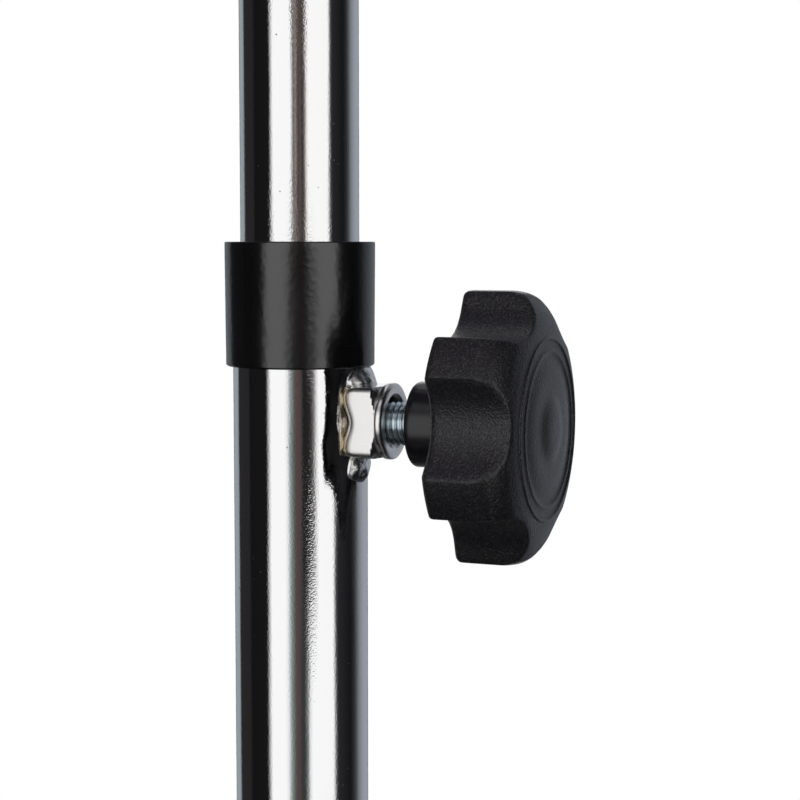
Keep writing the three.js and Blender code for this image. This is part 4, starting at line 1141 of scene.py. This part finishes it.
# %% [markdown]
# ### Rivets
# Four rivets hold the bracket to the desk. A rivet is the same at both ends, so half a profile is enough:
# it is used once upwards and once downwards.

# %% Desk rivets
FINE_CENTRE = 0.03      # innermost ring of rivets, bolt and feet


def headed(name, radius, head, start, stop, tall, seat):
    """A rivet from start to stop along its seat, with a domed head outside each end."""
    half = [(radius, 0, 0), (head, 0, 0.1), (head, 0.25 * tall, 0.4 * tall), (0.62 * head, tall, 0.5 * head),
            (FINE_CENTRE, tall, 0)]
    low_half = [(r, start - h, q) for r, h, q in half[::-1]]
    return turned(name, low_half + [(r, stop + h, q) for r, h, q in half], seat, columns=40)


for k, (x, y) in enumerate(rivet_places, 1):
    rivet_seat = (tilt_axis + x * np.array(RIGHT) + y * desk_up, -desk_back, RIGHT)
    rivet = headed(f"desk_rivet_{k}", radius=2, head=4, start=30.7, stop=34.8, tall=1.6, seat=rivet_seat)
    finish_piece(rivet, "desk", RIVET_STEEL, f"desk_rivet_{k}")

# %% [markdown]
# ### Tilt bolt
# A domed bolt passes through both ears, the fibre washers and the tongue, and a small star grip on a zinc
# washer pulls them together. The grip is the clamp's in small, with five lobes.

# %% Tilt bolt, washer and knob
tilt_seat = (tilt_axis, RIGHT, UP)
bolt_head, bolt_end = 9.3, high("tilt_bolt")[X]
bolt = turned("tilt_bolt", [
    (FINE_CENTRE, -bolt_head - 3.2, 0), (3.6, -bolt_head - 3.1, 2), (6.6, -bolt_head - 1.5, 1.2),
    (7, -bolt_head, 0.3), (3, -bolt_head, 0), (3, bolt_end - 0.5, 0.1), (2.5, bolt_end, 0.1),
    (FINE_CENTRE, bolt_end, 0)], tilt_seat, columns=64)
finish_piece(bolt, "desk", ZINC, "tilt_bolt")
tilt_washer = washer("tilt_washer", BOLT_ROOM, 7.5, *span("tilt_washer", X), tilt_seat)
finish_piece(tilt_washer, "tilt_washer", ZINC, "tilt_washer")
small_grip = dict(columns=300, radius=13, lobes=5, lobe_half=13.0, valley_depth=2.6, edge=1.2, stem=5.4,
                  stem_length=5.5, dish=3.5, bore=3.3, bore_depth=9.5, length=15.5, valley_at=90.0)
tilt_knob = star_grip("tilt_knob", (tilt_axis + [low("tilt_knob")[X], 0, 0], RIGHT, UP), **small_grip)
finish_piece(tilt_knob, "tilt_knob", GRIP, "tilt_knob")

# %% [markdown]
# ### Tilt head
# The head is a moulded plug in the mast's top. Its tongue is rounded about the tilt axis, so the desk can
# swing. The plug is turned, the tongue a prism, and the boolean makes one body of them.

# %% Tilt head
HEAD_SHANK, HEAD_FLANGE, HEAD_TALL, TONGUE_HALF = 9.5, mast_radius + 1, 4.3, 5
mast_top, head_low = high("mast_tube")[Z], low("tilt_head")[Z]
head = turned("tilt_head", [
    (CENTRE, head_low, 0), (HEAD_SHANK, head_low, 0.8), (HEAD_SHANK, mast_top + GAP, 0),
    (HEAD_FLANGE, mast_top + GAP, 0.3), (HEAD_FLANGE, mast_top + HEAD_TALL, 0.9),
    (CENTRE, mast_top + HEAD_TALL, 0)], upright())
tongue_foot = mast_top + 3.5 - tilt_axis[Z]
tongue_outline = np.vstack([
    [(-mast_radius, tongue_foot), (mast_radius, tongue_foot)], arc(0, 0, mast_radius, 0, 180, 32)])
tongue = prism("tongue", [tongue_outline], -TONGUE_HALF, TONGUE_HALF, (tilt_axis, RIGHT, BACK))
combine(head, tongue, "UNION")
drill(head, BOLT_ROOM, tilt_axis, RIGHT)
softened(head, upright(), width=0.5, segments=3)
finish_piece(head, "mast", SATIN_PLASTIC, "tilt_head")

# %% [markdown]
# A washer of pressed fibre on each side of the tongue holds the desk by friction.

# %% Friction washers
for side, name in ((-1, "friction_washer_left"), (1, "friction_washer_right")):
    inner, outer = sorted((abs(low(name)[X]), abs(high(name)[X])))
    fibre = washer(name + "_disc", BOLT_ROOM, 9, inner, outer, (tilt_axis, (side, 0, 0), UP))
    finish_piece(fibre, "mast", FIBRE, name)

# %% [markdown]
# ## The folding tripod
# Each leg hangs from the sliding collar and is held at its middle by a strut from the hub. When the collar
# goes up, all three legs fold against the column like the ribs of an umbrella. Every leg's line is read
# from its pins.

# %% Places of a leg
LEG_RADIUS, STRUT_ROOM, EAR_WALL, PIN_ROOM = 8, 8.5, 3.4, 3.3


def unit(vector):
    return vector / np.linalg.norm(vector)


def leg_places(k):
    """Hub, strut and collar pin of leg k, its outward direction and the direction across it."""
    hub_pin, strut_pin, collar_pin = (middle(f"{name}_pin_{k}") for name in ("hub", "strut", "collar"))
    outward = unit((strut_pin - collar_pin) * (1, 1, 0))
    return hub_pin, strut_pin, collar_pin, outward, np.cross(UP, outward)


for k in (1, 2, 3):
    print("leg", k, "outward", leg_places(k)[3].round(3))

# %% [markdown]
# ### Hub
# The hub is a moulded sleeve at the column's foot, with a solid lug for each strut. The sleeve is turned
# and the lugs are prisms, joined first and bored through for their pins after that.

# %% Hub
SLEEVE_RADIUS, ROOT, LUG_HALF = 17.4, -12.5, 8.2


def sleeve(node):
    """A moulded sleeve round the column."""
    start, stop = span(node, Z)
    side = (sleeve_bore, (start + stop) / 2, 0)
    return turned(node, [
        side, (sleeve_bore, start, 0.3), (SLEEVE_RADIUS, start, 1.4), (SLEEVE_RADIUS, stop, 2.4),
        (sleeve_bore, stop, 0.4), side], upright(), loop=True)


hub = sleeve("base_hub")
hub_outline = np.vstack([[(ROOT, -8.4), (-8.6, -8.4)], arc(0, 0, 7, -90, 90, 18), [(ROOT, 7)]])
for k in (1, 2, 3):
    hub_pin, _, _, outward, across = leg_places(k)
    combine(hub, prism("lug", [hub_outline], -LUG_HALF, LUG_HALF, (hub_pin, -across, outward)), "UNION")
for k in (1, 2, 3):
    hub_pin, _, _, _, across = leg_places(k)
    drill(hub, PIN_ROOM, hub_pin, across)
softened(hub, upright(), width=0.5)
finish_piece(hub, "column", GRIP, "base_hub")

# %% [markdown]
# ### Collar
# The collar slides. It has a fork of two ears for each leg, and each leg's round top needs room to turn
# between them, so a round tool clears that room before the pin's hole is drilled.

# %% Collar
collar = sleeve("leg_collar")
ear_shape = np.vstack([[(ROOT, -8)], arc(0, 0, 8.4, -90, 70, 20), [(ROOT, 13.4)]])
for k in (1, 2, 3):
    _, _, collar_pin, outward, across = leg_places(k)
    for start in (-STRUT_ROOM - EAR_WALL, STRUT_ROOM):
        ear = prism("ear", [ear_shape], start, start + EAR_WALL, (collar_pin, -across, outward))
        combine(collar, ear, "UNION")
for k in (1, 2, 3):
    _, _, collar_pin, _, across = leg_places(k)
    combine(collar, rod(STRUT_ROOM, -STRUT_ROOM, STRUT_ROOM, (collar_pin, across, UP)), "DIFFERENCE")
    drill(collar, PIN_ROOM, collar_pin, across, reach=14, columns=40)
print("collar with forks", len(collar.data.polygons))

# %% [markdown]
# On the collar's back is a boss with a threaded insert, in which the collar's own clamp screw runs.

# %% Boss of the collar
BOSS_RADIUS, SCREW_ROOM, INSERT_ROOM = 8, 3.3, 4.9
collar_screw_height = middle("collar_screw")[Z]
boss_seat = (column_foot + [0, 0, collar_screw_height], BACK, UP)
insert_low, insert_high = span("collar_insert", Y)
combine(collar, rod(BOSS_RADIUS, sleeve_bore + 0.4, insert_high, boss_seat, columns=64), "UNION")
room_end, room_step = insert_high + 2, insert_low - GAP
screw_room = turned("screw_room", [
    (CENTRE, 5, 0), (SCREW_ROOM, 5, 0), (SCREW_ROOM, room_step, 0), (INSERT_ROOM, room_step, 0),
    (INSERT_ROOM, room_end, 0), (CENTRE, room_end, 0)], boss_seat, columns=48)
combine(collar, screw_room, "DIFFERENCE")
softened(collar, upright(), width=0.5)
finish_piece(collar, "leg_collar", GRIP, "leg_collar")

# %% [markdown]
# This clamp is like the column's, one size smaller: insert, pad, M6 screw and grip. The functions from
# above make all four.

# %% The collar's own clamp
insert = washer("collar_insert", SCREW_ROOM, 4.6, insert_low, insert_high, boss_seat)
finish_piece(insert, "leg_collar", ZINC, "collar_insert")
collar_pad = button("collar_pad", 2.7, *span("collar_pad", Y), dome=0.4, seat=boss_seat)
finish_piece(collar_pad, "collar_pad", NYLON, "collar_pad")
collar_screw = threaded("collar_screw", *span("collar_screw", Y), major=2.97, seat=boss_seat, columns=48,
                        chamfer=0.7)
finish_piece(collar_screw, "collar_knob", ZINC, "collar_screw")
collar_knob = star_grip("collar_knob", on_axis("collar_knob", Y, boss_seat[0], BACK), **small_grip)
finish_piece(collar_knob, "collar_knob", GRIP, "collar_knob")

# %% [markdown]
# ### Leg tubes
# A leg is a plated tube whose top end is spun over to a dome, so that nothing sharp shows in the fork. Its
# section is a quarter circle outside, another inside, and even rings down to the foot.

# %% Leg tubes
LEG_TO_FOOT, FOOT_COVER, LEG_WALL = 329.61, 7, 1.1
leg_length, leg_bore = LEG_TO_FOOT - FOOT_COVER, LEG_RADIUS - LEG_WALL


def leg_seat(k):
    """On the collar pin of leg k, up along the leg."""
    _, strut_pin, collar_pin, _, across = leg_places(k)
    return collar_pin, unit(collar_pin - strut_pin), across


top_out = [(r, h, 0) for r, h in arc(0, 0, LEG_RADIUS, 0, 89.6, 14)]
top_in = [(r, h, 0) for r, h in arc(0, 0, leg_bore, 89.6, 0, 14)]
sides = np.linspace(-leg_length, 0, 10)[:-1]
section = [(LEG_RADIUS, h, 0) for h in sides] + top_out + top_in + [(leg_bore, h, 0) for h in sides[::-1]]
for k in (1, 2, 3):
    leg = turned(f"leg_tube_{k}", section + section[:1], leg_seat(k), loop=True)
    finish_piece(leg, f"leg_{k}", CHROME, f"leg_{k}")

# %% [markdown]
# ### Struts
# A strut is a pressed channel that straddles both the leg and the hub's lug. It starts as a solid belt
# round both pins. One cut opens its side, one empties it, one trims its web at both ends, and two holes
# take the pins.

# %% Struts
STRUT_SHEET, WEB_FROM, WEB_SHORT = 1.2, 7, 15.5
FAR, BEYOND = 50, 300       # how far a cut reaches past the strut's sides and past its ends
strut_outer = STRUT_ROOM + STRUT_SHEET
for k in (1, 2, 3):
    hub_pin, strut_pin, _, _, across = leg_places(k)
    to_leg, strut_length = unit(strut_pin - hub_pin), np.linalg.norm(strut_pin - hub_pin)
    # Seat across the leg's plane: x square to the strut towards its open side, y along the strut.
    side = np.cross(across, to_leg)
    seat = (hub_pin, np.cross(side, to_leg), side)
    strut = prism(f"strut_bar_{k}", [belt(strut_length, strut_outer, 20)], -strut_outer, strut_outer, seat)
    trims = [rectangle(-FAR, at - WEB_SHORT, FAR, at + WEB_SHORT) for at in (0, strut_length)]
    for outlines, half in (([rectangle(WEB_FROM, -FAR, FAR, BEYOND)], FAR),
                           ([rectangle(-STRUT_ROOM, -FAR, FAR, BEYOND)], STRUT_ROOM), (trims, STRUT_ROOM)):
        combine(strut, prism("cut", outlines, -half, half, seat), "DIFFERENCE")
    drill(strut, PIN_ROOM, hub_pin, across)
    drill(strut, PIN_ROOM, strut_pin, across)
    softened(strut, (hub_pin, to_leg, across), width=0.3)
    finish_piece(strut, f"strut_{k}", STRUT_STEEL, f"strut_{k}")

# %% [markdown]
# ### Pins
# Every joint of the tripod turns on a steel rivet with a domed head on both sides. Each is as long as what
# it holds together.

# %% Pins
for k in (1, 2, 3):
    *spots, _, across = leg_places(k)
    for name, spot, reach, body in zip(
            ("hub", "strut", "collar"), spots, (strut_outer, strut_outer, STRUT_ROOM + EAR_WALL),
            ("column", f"leg_{k}", "leg_collar")):
        pin = headed(f"{name}_rivet_{k}", radius=3, head=4.8, start=-reach - GAP, stop=reach + GAP,
                     tall=1.5, seat=(spot, across, UP))
        finish_piece(pin, body, RIVET_STEEL, f"{name}_pin_{k}")

# %% [markdown]
# ### Rubber feet
# A foot is a moulded rubber cap with two ribs and a domed end, and under load it lies flat on the floor:
# whatever would be below the floor is lifted to it.

# %% Rubber feet
FOOT_RADIUS, FOOT_TALL, RIB_STEP, RIB_HALF, RIB_PROUD = 10.5, 26, 6.5, 1.1, 0.9
foot_top, foot_bore, cap_floor = FOOT_TALL - leg_length, LEG_RADIUS + GAP, -leg_length - GAP
profile = [(FINE_CENTRE, cap_floor, 0), (foot_bore, cap_floor, 0), (foot_bore, foot_top, 0.2),
           (FOOT_RADIUS, foot_top, 0.8)]
for height in (foot_top - RIB_STEP, foot_top - 2 * RIB_STEP):
    profile += [(FOOT_RADIUS, height + RIB_HALF, 0.3), (FOOT_RADIUS + RIB_PROUD, height, 0.6),
                (FOOT_RADIUS, height - RIB_HALF, 0.3)]
profile += [(r, h - LEG_TO_FOOT, 0) for r, h in arc(0, 0, FOOT_RADIUS, 0, -89.8, 16)]
for k in (1, 2, 3):
    foot = turned(f"rubber_foot_{k}", profile, leg_seat(k))
    points = np.zeros(len(foot.data.vertices) * 3)
    foot.data.vertices.foreach_get("co", points)
    points[Z::3] = np.maximum(points[Z::3], 0)
    foot.data.vertices.foreach_set("co", points)
    foot.data.update()
    finish_piece(foot, f"leg_{k}", RUBBER, f"foot_{k}")

# %% [markdown]
# ## Camera
# The eye is close to the clamp, a little above it, and looks slightly down. Its aim is turned a little to
# the right, so the column stands left of the middle and the knob has room.

# %% Camera
EYE_TURN, EYE_DISTANCE, AIM_RIGHT, LOOK_DOWN = 25.0, 334, 3.17, 5.03
away = np.array([math.sin(math.radians(EYE_TURN)), -math.cos(math.radians(EYE_TURN)), 0])
lens = bpy.data.cameras.new("eye")
lens.lens, lens.sensor_width, lens.clip_start, lens.clip_end = 81.0, 36.0, 0.01, 30.0
eye = new_object("eye", lens)
eye.location = (column_foot + EYE_DISTANCE * away + [0, 0, ferrule_top]) * MM
eye.rotation_euler = (math.radians(90 - LOOK_DOWN), 0, math.radians(EYE_TURN - AIM_RIGHT))
bpy.context.scene.camera = eye
print("eye at", [round(part, 3) for part in eye.location])

# %% [markdown]
# ## Light
# Chrome shows only what stands round it, so the room is the chrome's real colour: two long white panels
# behind the eye with a dark gap between them, black drapes at both sides and a pale grey-blue wall behind
# the stand, with a tall window in it for whoever looks from there. The ceiling is brighter still. Mirrors
# see this room; matt surfaces get an even soft light and two panel lamps; the eye itself sees plain white.
#
# The tables give the room's colour by turn from the eye, in degrees to its right, as (turn, red, green,
# blue). The gap between the two panels differs above eye height, just below it and further down.

# %% The room by turn from the eye
WALL_LEFT = [(-180, .33, .36, .40), (-150, .30, .34, .365), (-135, .28, .32, .35), (-130, .022, .021, .023),
             (-99, .02, .018, .019), (-96, .007, .007, .008), (-60, .009, .009, .009), (-52, 1, 1, 1)]
GAP_ABOVE = [(-17.5, 1, 1, 1), (-14.5, .42, .42, .42), (-11.5, .09, .08, .08), (-8, .28, .25, .235),
             (-5.5, .14, .115, .105), (-2.5, .07, .05, .048), (2, .1, .078, .07), (5.5, .04, .032, .03),
             (9.5, .16, .14, .13), (13.5, .8, .76, .74), (17, 1, 1, 1)]
GAP_MIDDLE = [(-28, 1, 1, 1), (-23, .84, .84, .84), (-18, .28, .325, .33), (-13.5, .14, .16, .15),
              (-9.5, .08, .068, .064), (-4.4, .09, .058, .058), (0.2, .07, .055, .05), (4, .014, .014, .015),
              (14, .018, .018, .018), (18, .06, .055, .055), (22, .18, .165, .16), (26, .66, .65, .64),
              (30, 1, 1, 1)]
GAP_BELOW = GAP_MIDDLE[:6] + [(-0.3, .045, .042, .044), (5, .035, .038, .042), (10, .21, .215, .22),
                              (14, .8, .8, .8), (19, 1, 1, 1)]
WALL_RIGHT = [(55.5, 1, .99, .98), (61, .065, .065, .07), (66, .02, .02, .022), (92, .008, .008, .01),
              (100, .02, .021, .024), (107, .055, .057, .06), (113, .14, .145, .16), (120, .22, .235, .26),
              (134, .3, .325, .37), (180, .33, .36, .40)]
print("bands", [len(WALL_LEFT + gap + WALL_RIGHT) for gap in (GAP_ABOVE, GAP_MIDDLE, GAP_BELOW)])

# %% [markdown]
# An image of a room would do the same, but ramps over the direction are easy to read and to move: one for
# each height, blended where one height passes into the next.

# %% Bands round the room
world = bpy.data.worlds.new("studio")
bpy.context.scene.world = world
world.use_nodes = True
room = world.node_tree
room.nodes.clear()
direction = add(room, "TexCoord").outputs["Generated"]
parts = add(room, "SeparateXYZ", {0: direction}).outputs
off_ahead = maths(room, "SUBTRACT", maths(room, "ARCTAN2", parts[Y], parts[X]), math.radians(EYE_TURN - 90))
from_eye = add(room, "Math", {0: off_ahead, 1: math.pi, 2: -math.pi}, operation="WRAP").outputs[0]


def ramp(share, keys):
    """Colour ramp over a share from 0 to 1, from keys of (share, red, green, blue)."""
    made = add(room, "ValToRGB", {"Fac": share})
    elements = made.color_ramp.elements
    elements.remove(elements[-1])
    for index, (position, *colour) in enumerate(keys):
        key = elements[0] if index == 0 else elements.new(position)
        key.position, key.color = position, (*colour, 1)
    return made.outputs[0]


def bands(gap):
    """The room's colour at one height: its walls with this gap between the panels."""
    keys = [(turn / 360 + 0.5, *colour) for turn, *colour in WALL_LEFT + gap + WALL_RIGHT]
    return ramp(spread(room, from_eye, 0.0, 1.0, -math.pi, math.pi), keys)


def over(low_end, high_end, below, above, value=parts[Z]):
    """Blends from below to above while the value, at first the sine of the height angle, rises."""
    return mix_colour(room, spread(room, value, 0.0, 1.0, low_end, high_end), below, above)


UPPER_BLEND, LOWER_BLEND = (-0.07, 0.0), (-0.205, -0.18)    # sines of the height angle
WINDOW_FRAME, WINDOW = ([math.radians(turn) for turn in ends] for ends in ((160, 162), (166, 167)))
walls = over(*UPPER_BLEND, bands(GAP_MIDDLE), bands(GAP_ABOVE))
walls = over(*LOWER_BLEND, bands(GAP_BELOW), walls)
off_front = maths(room, "ABSOLUTE", from_eye)
walls = over(*WINDOW_FRAME, walls, (0.02, 0.02, 0.022), off_front)
walls = over(*WINDOW, walls, (1, 1, 1), off_front)
print("room nodes", len(room.nodes))

# %% [markdown]
# The panels end above and below. Three backgrounds then share the work by the kind of ray that asks: it
# keeps the mirrors' black and white room from making the matt surfaces patchy.

# %% Heights of the room, and who sees it
PANEL_ENDS = [(0.23, .1, .1, .1), (0.34, 1, 1, 1), (0.7, 1, 1, 1), (0.79, .13, .13, .135)]
WHITE, SOFT_STRENGTH, CEILING_STRENGTH = (1, 1, 1, 1), 0.4, 5.0
ends = ramp(spread(room, parts[Z], 0.0, 1.0, -1.0, 1.0), PANEL_ENDS)
shaped = mix_colour(room, 1.0, walls, ends, blend_type="MULTIPLY")
ceiling = spread(room, parts[Z], 1.0, CEILING_STRENGTH, start=0.5, stop=0.85)
mirrored, soft, plain = (
    add(room, "Background", {"Color": colour, "Strength": strength}).outputs[0]
    for colour, strength in ((shaped, ceiling), (WHITE, SOFT_STRENGTH), (WHITE, 1.0)))
rays = add(room, "LightPath").outputs
lit = add(room, "MixShader", {0: rays["Is Glossy Ray"], 1: soft, 2: mirrored}).outputs[0]
seen = add(room, "MixShader", {0: rays["Is Camera Ray"], 1: lit, 2: plain}).outputs[0]
add(room, "OutputWorld", {"Surface": seen})
print("room nodes", len(room.nodes))

# %% [markdown]
# A large lamp from above gives the matt pieces their form, and a weak one from the right lifts the side
# in shadow. Their places and sizes are in metres.

# %% Panel lamps


def panel(name, position, target, size, power):
    """A soft rectangular lamp that faces the target; mirrors don't show it."""
    light = bpy.data.lights.new(name, "AREA")
    light.shape, light.size, light.size_y, light.energy = "RECTANGLE", *size, power
    lamp = new_object(name, light)
    lamp.location = position
    lamp.rotation_euler = mathutils.Vector(target - position).to_track_quat("-Z", "Y").to_euler()
    lamp.visible_glossy = False
    print(name, "at", position.round(2), "with", power, "W")


clamp_point = screw_axis * MM
panel("panel_above", clamp_point + [-0.5, -1.1, 1.5], clamp_point, size=(1.3, 1.0), power=36)
panel("panel_right", clamp_point + [1.8, -0.6, 0.4], clamp_point, size=(0.7, 1.4), power=4)

# %% [markdown]
# ## Floor
# The stand needs ground to stand on. A plain disc keeps its contact shadow, glows a little so that it is as
# white as the backdrop, and fades out towards its rim, so no edge shows. Mirrors look through it, or its
# pale disc would end in the chrome with a line.

# %% Floor
FLOOR_RADIUS, FLOOR_THICK, FLOOR_DROP, GLOW_SHARE, FADE = 1300, 2, 0.05, 0.4, (0.3, 0.97)
corners = [(1, 0, 0), (FLOOR_RADIUS, 0, 0), (FLOOR_RADIUS, -FLOOR_THICK, 0), (1, -FLOOR_THICK, 0)]
ground = turned("floor", corners, (column_foot * (0, 1, 0) - [0, 0, FLOOR_DROP], UP, RIGHT), columns=128)
made = bpy.data.materials.new("studio_floor")
made.use_nodes = True
tree = made.node_tree
shader = tree.nodes["Principled BSDF"]
shader.inputs["Base Color"].default_value = (0.9, 0.9, 0.9, 1)
shader.inputs["Roughness"].default_value = 0.8
rays = add(tree, "LightPath").outputs
glow = add(tree, "Emission", {"Color": WHITE, "Strength": 1.0}).outputs[0]
glow_share = maths(tree, "MULTIPLY", rays["Is Camera Ray"], GLOW_SHARE)
solid = add(tree, "MixShader", {0: glow_share, 1: shader.outputs[0], 2: glow}).outputs[0]
distance = vector_maths(tree, "LENGTH", add(tree, "TexCoord").outputs["Object"])["Value"]
fade_from, fade_to = (share * FLOOR_RADIUS * MM for share in FADE)
fade = spread(tree, distance, 0.0, 1.0, fade_from, fade_to, interpolation_type="SMOOTHSTEP")
passing = maths(tree, "MAXIMUM", fade, rays["Is Glossy Ray"])
clear = add(tree, "BsdfTransparent").outputs[0]
blend = add(tree, "MixShader", {0: passing, 1: solid, 2: clear}).outputs[0]
tree.links.new(blend, tree.nodes["Material Output"].inputs["Surface"])
ground.data.materials.append(made)
print("floor", FLOOR_RADIUS, "mm in radius")

# %% [markdown]
# ## The end
# Colours render as they are written, under the Standard view transform.

# %% The end
bpy.context.scene.view_settings.view_transform = "Standard"
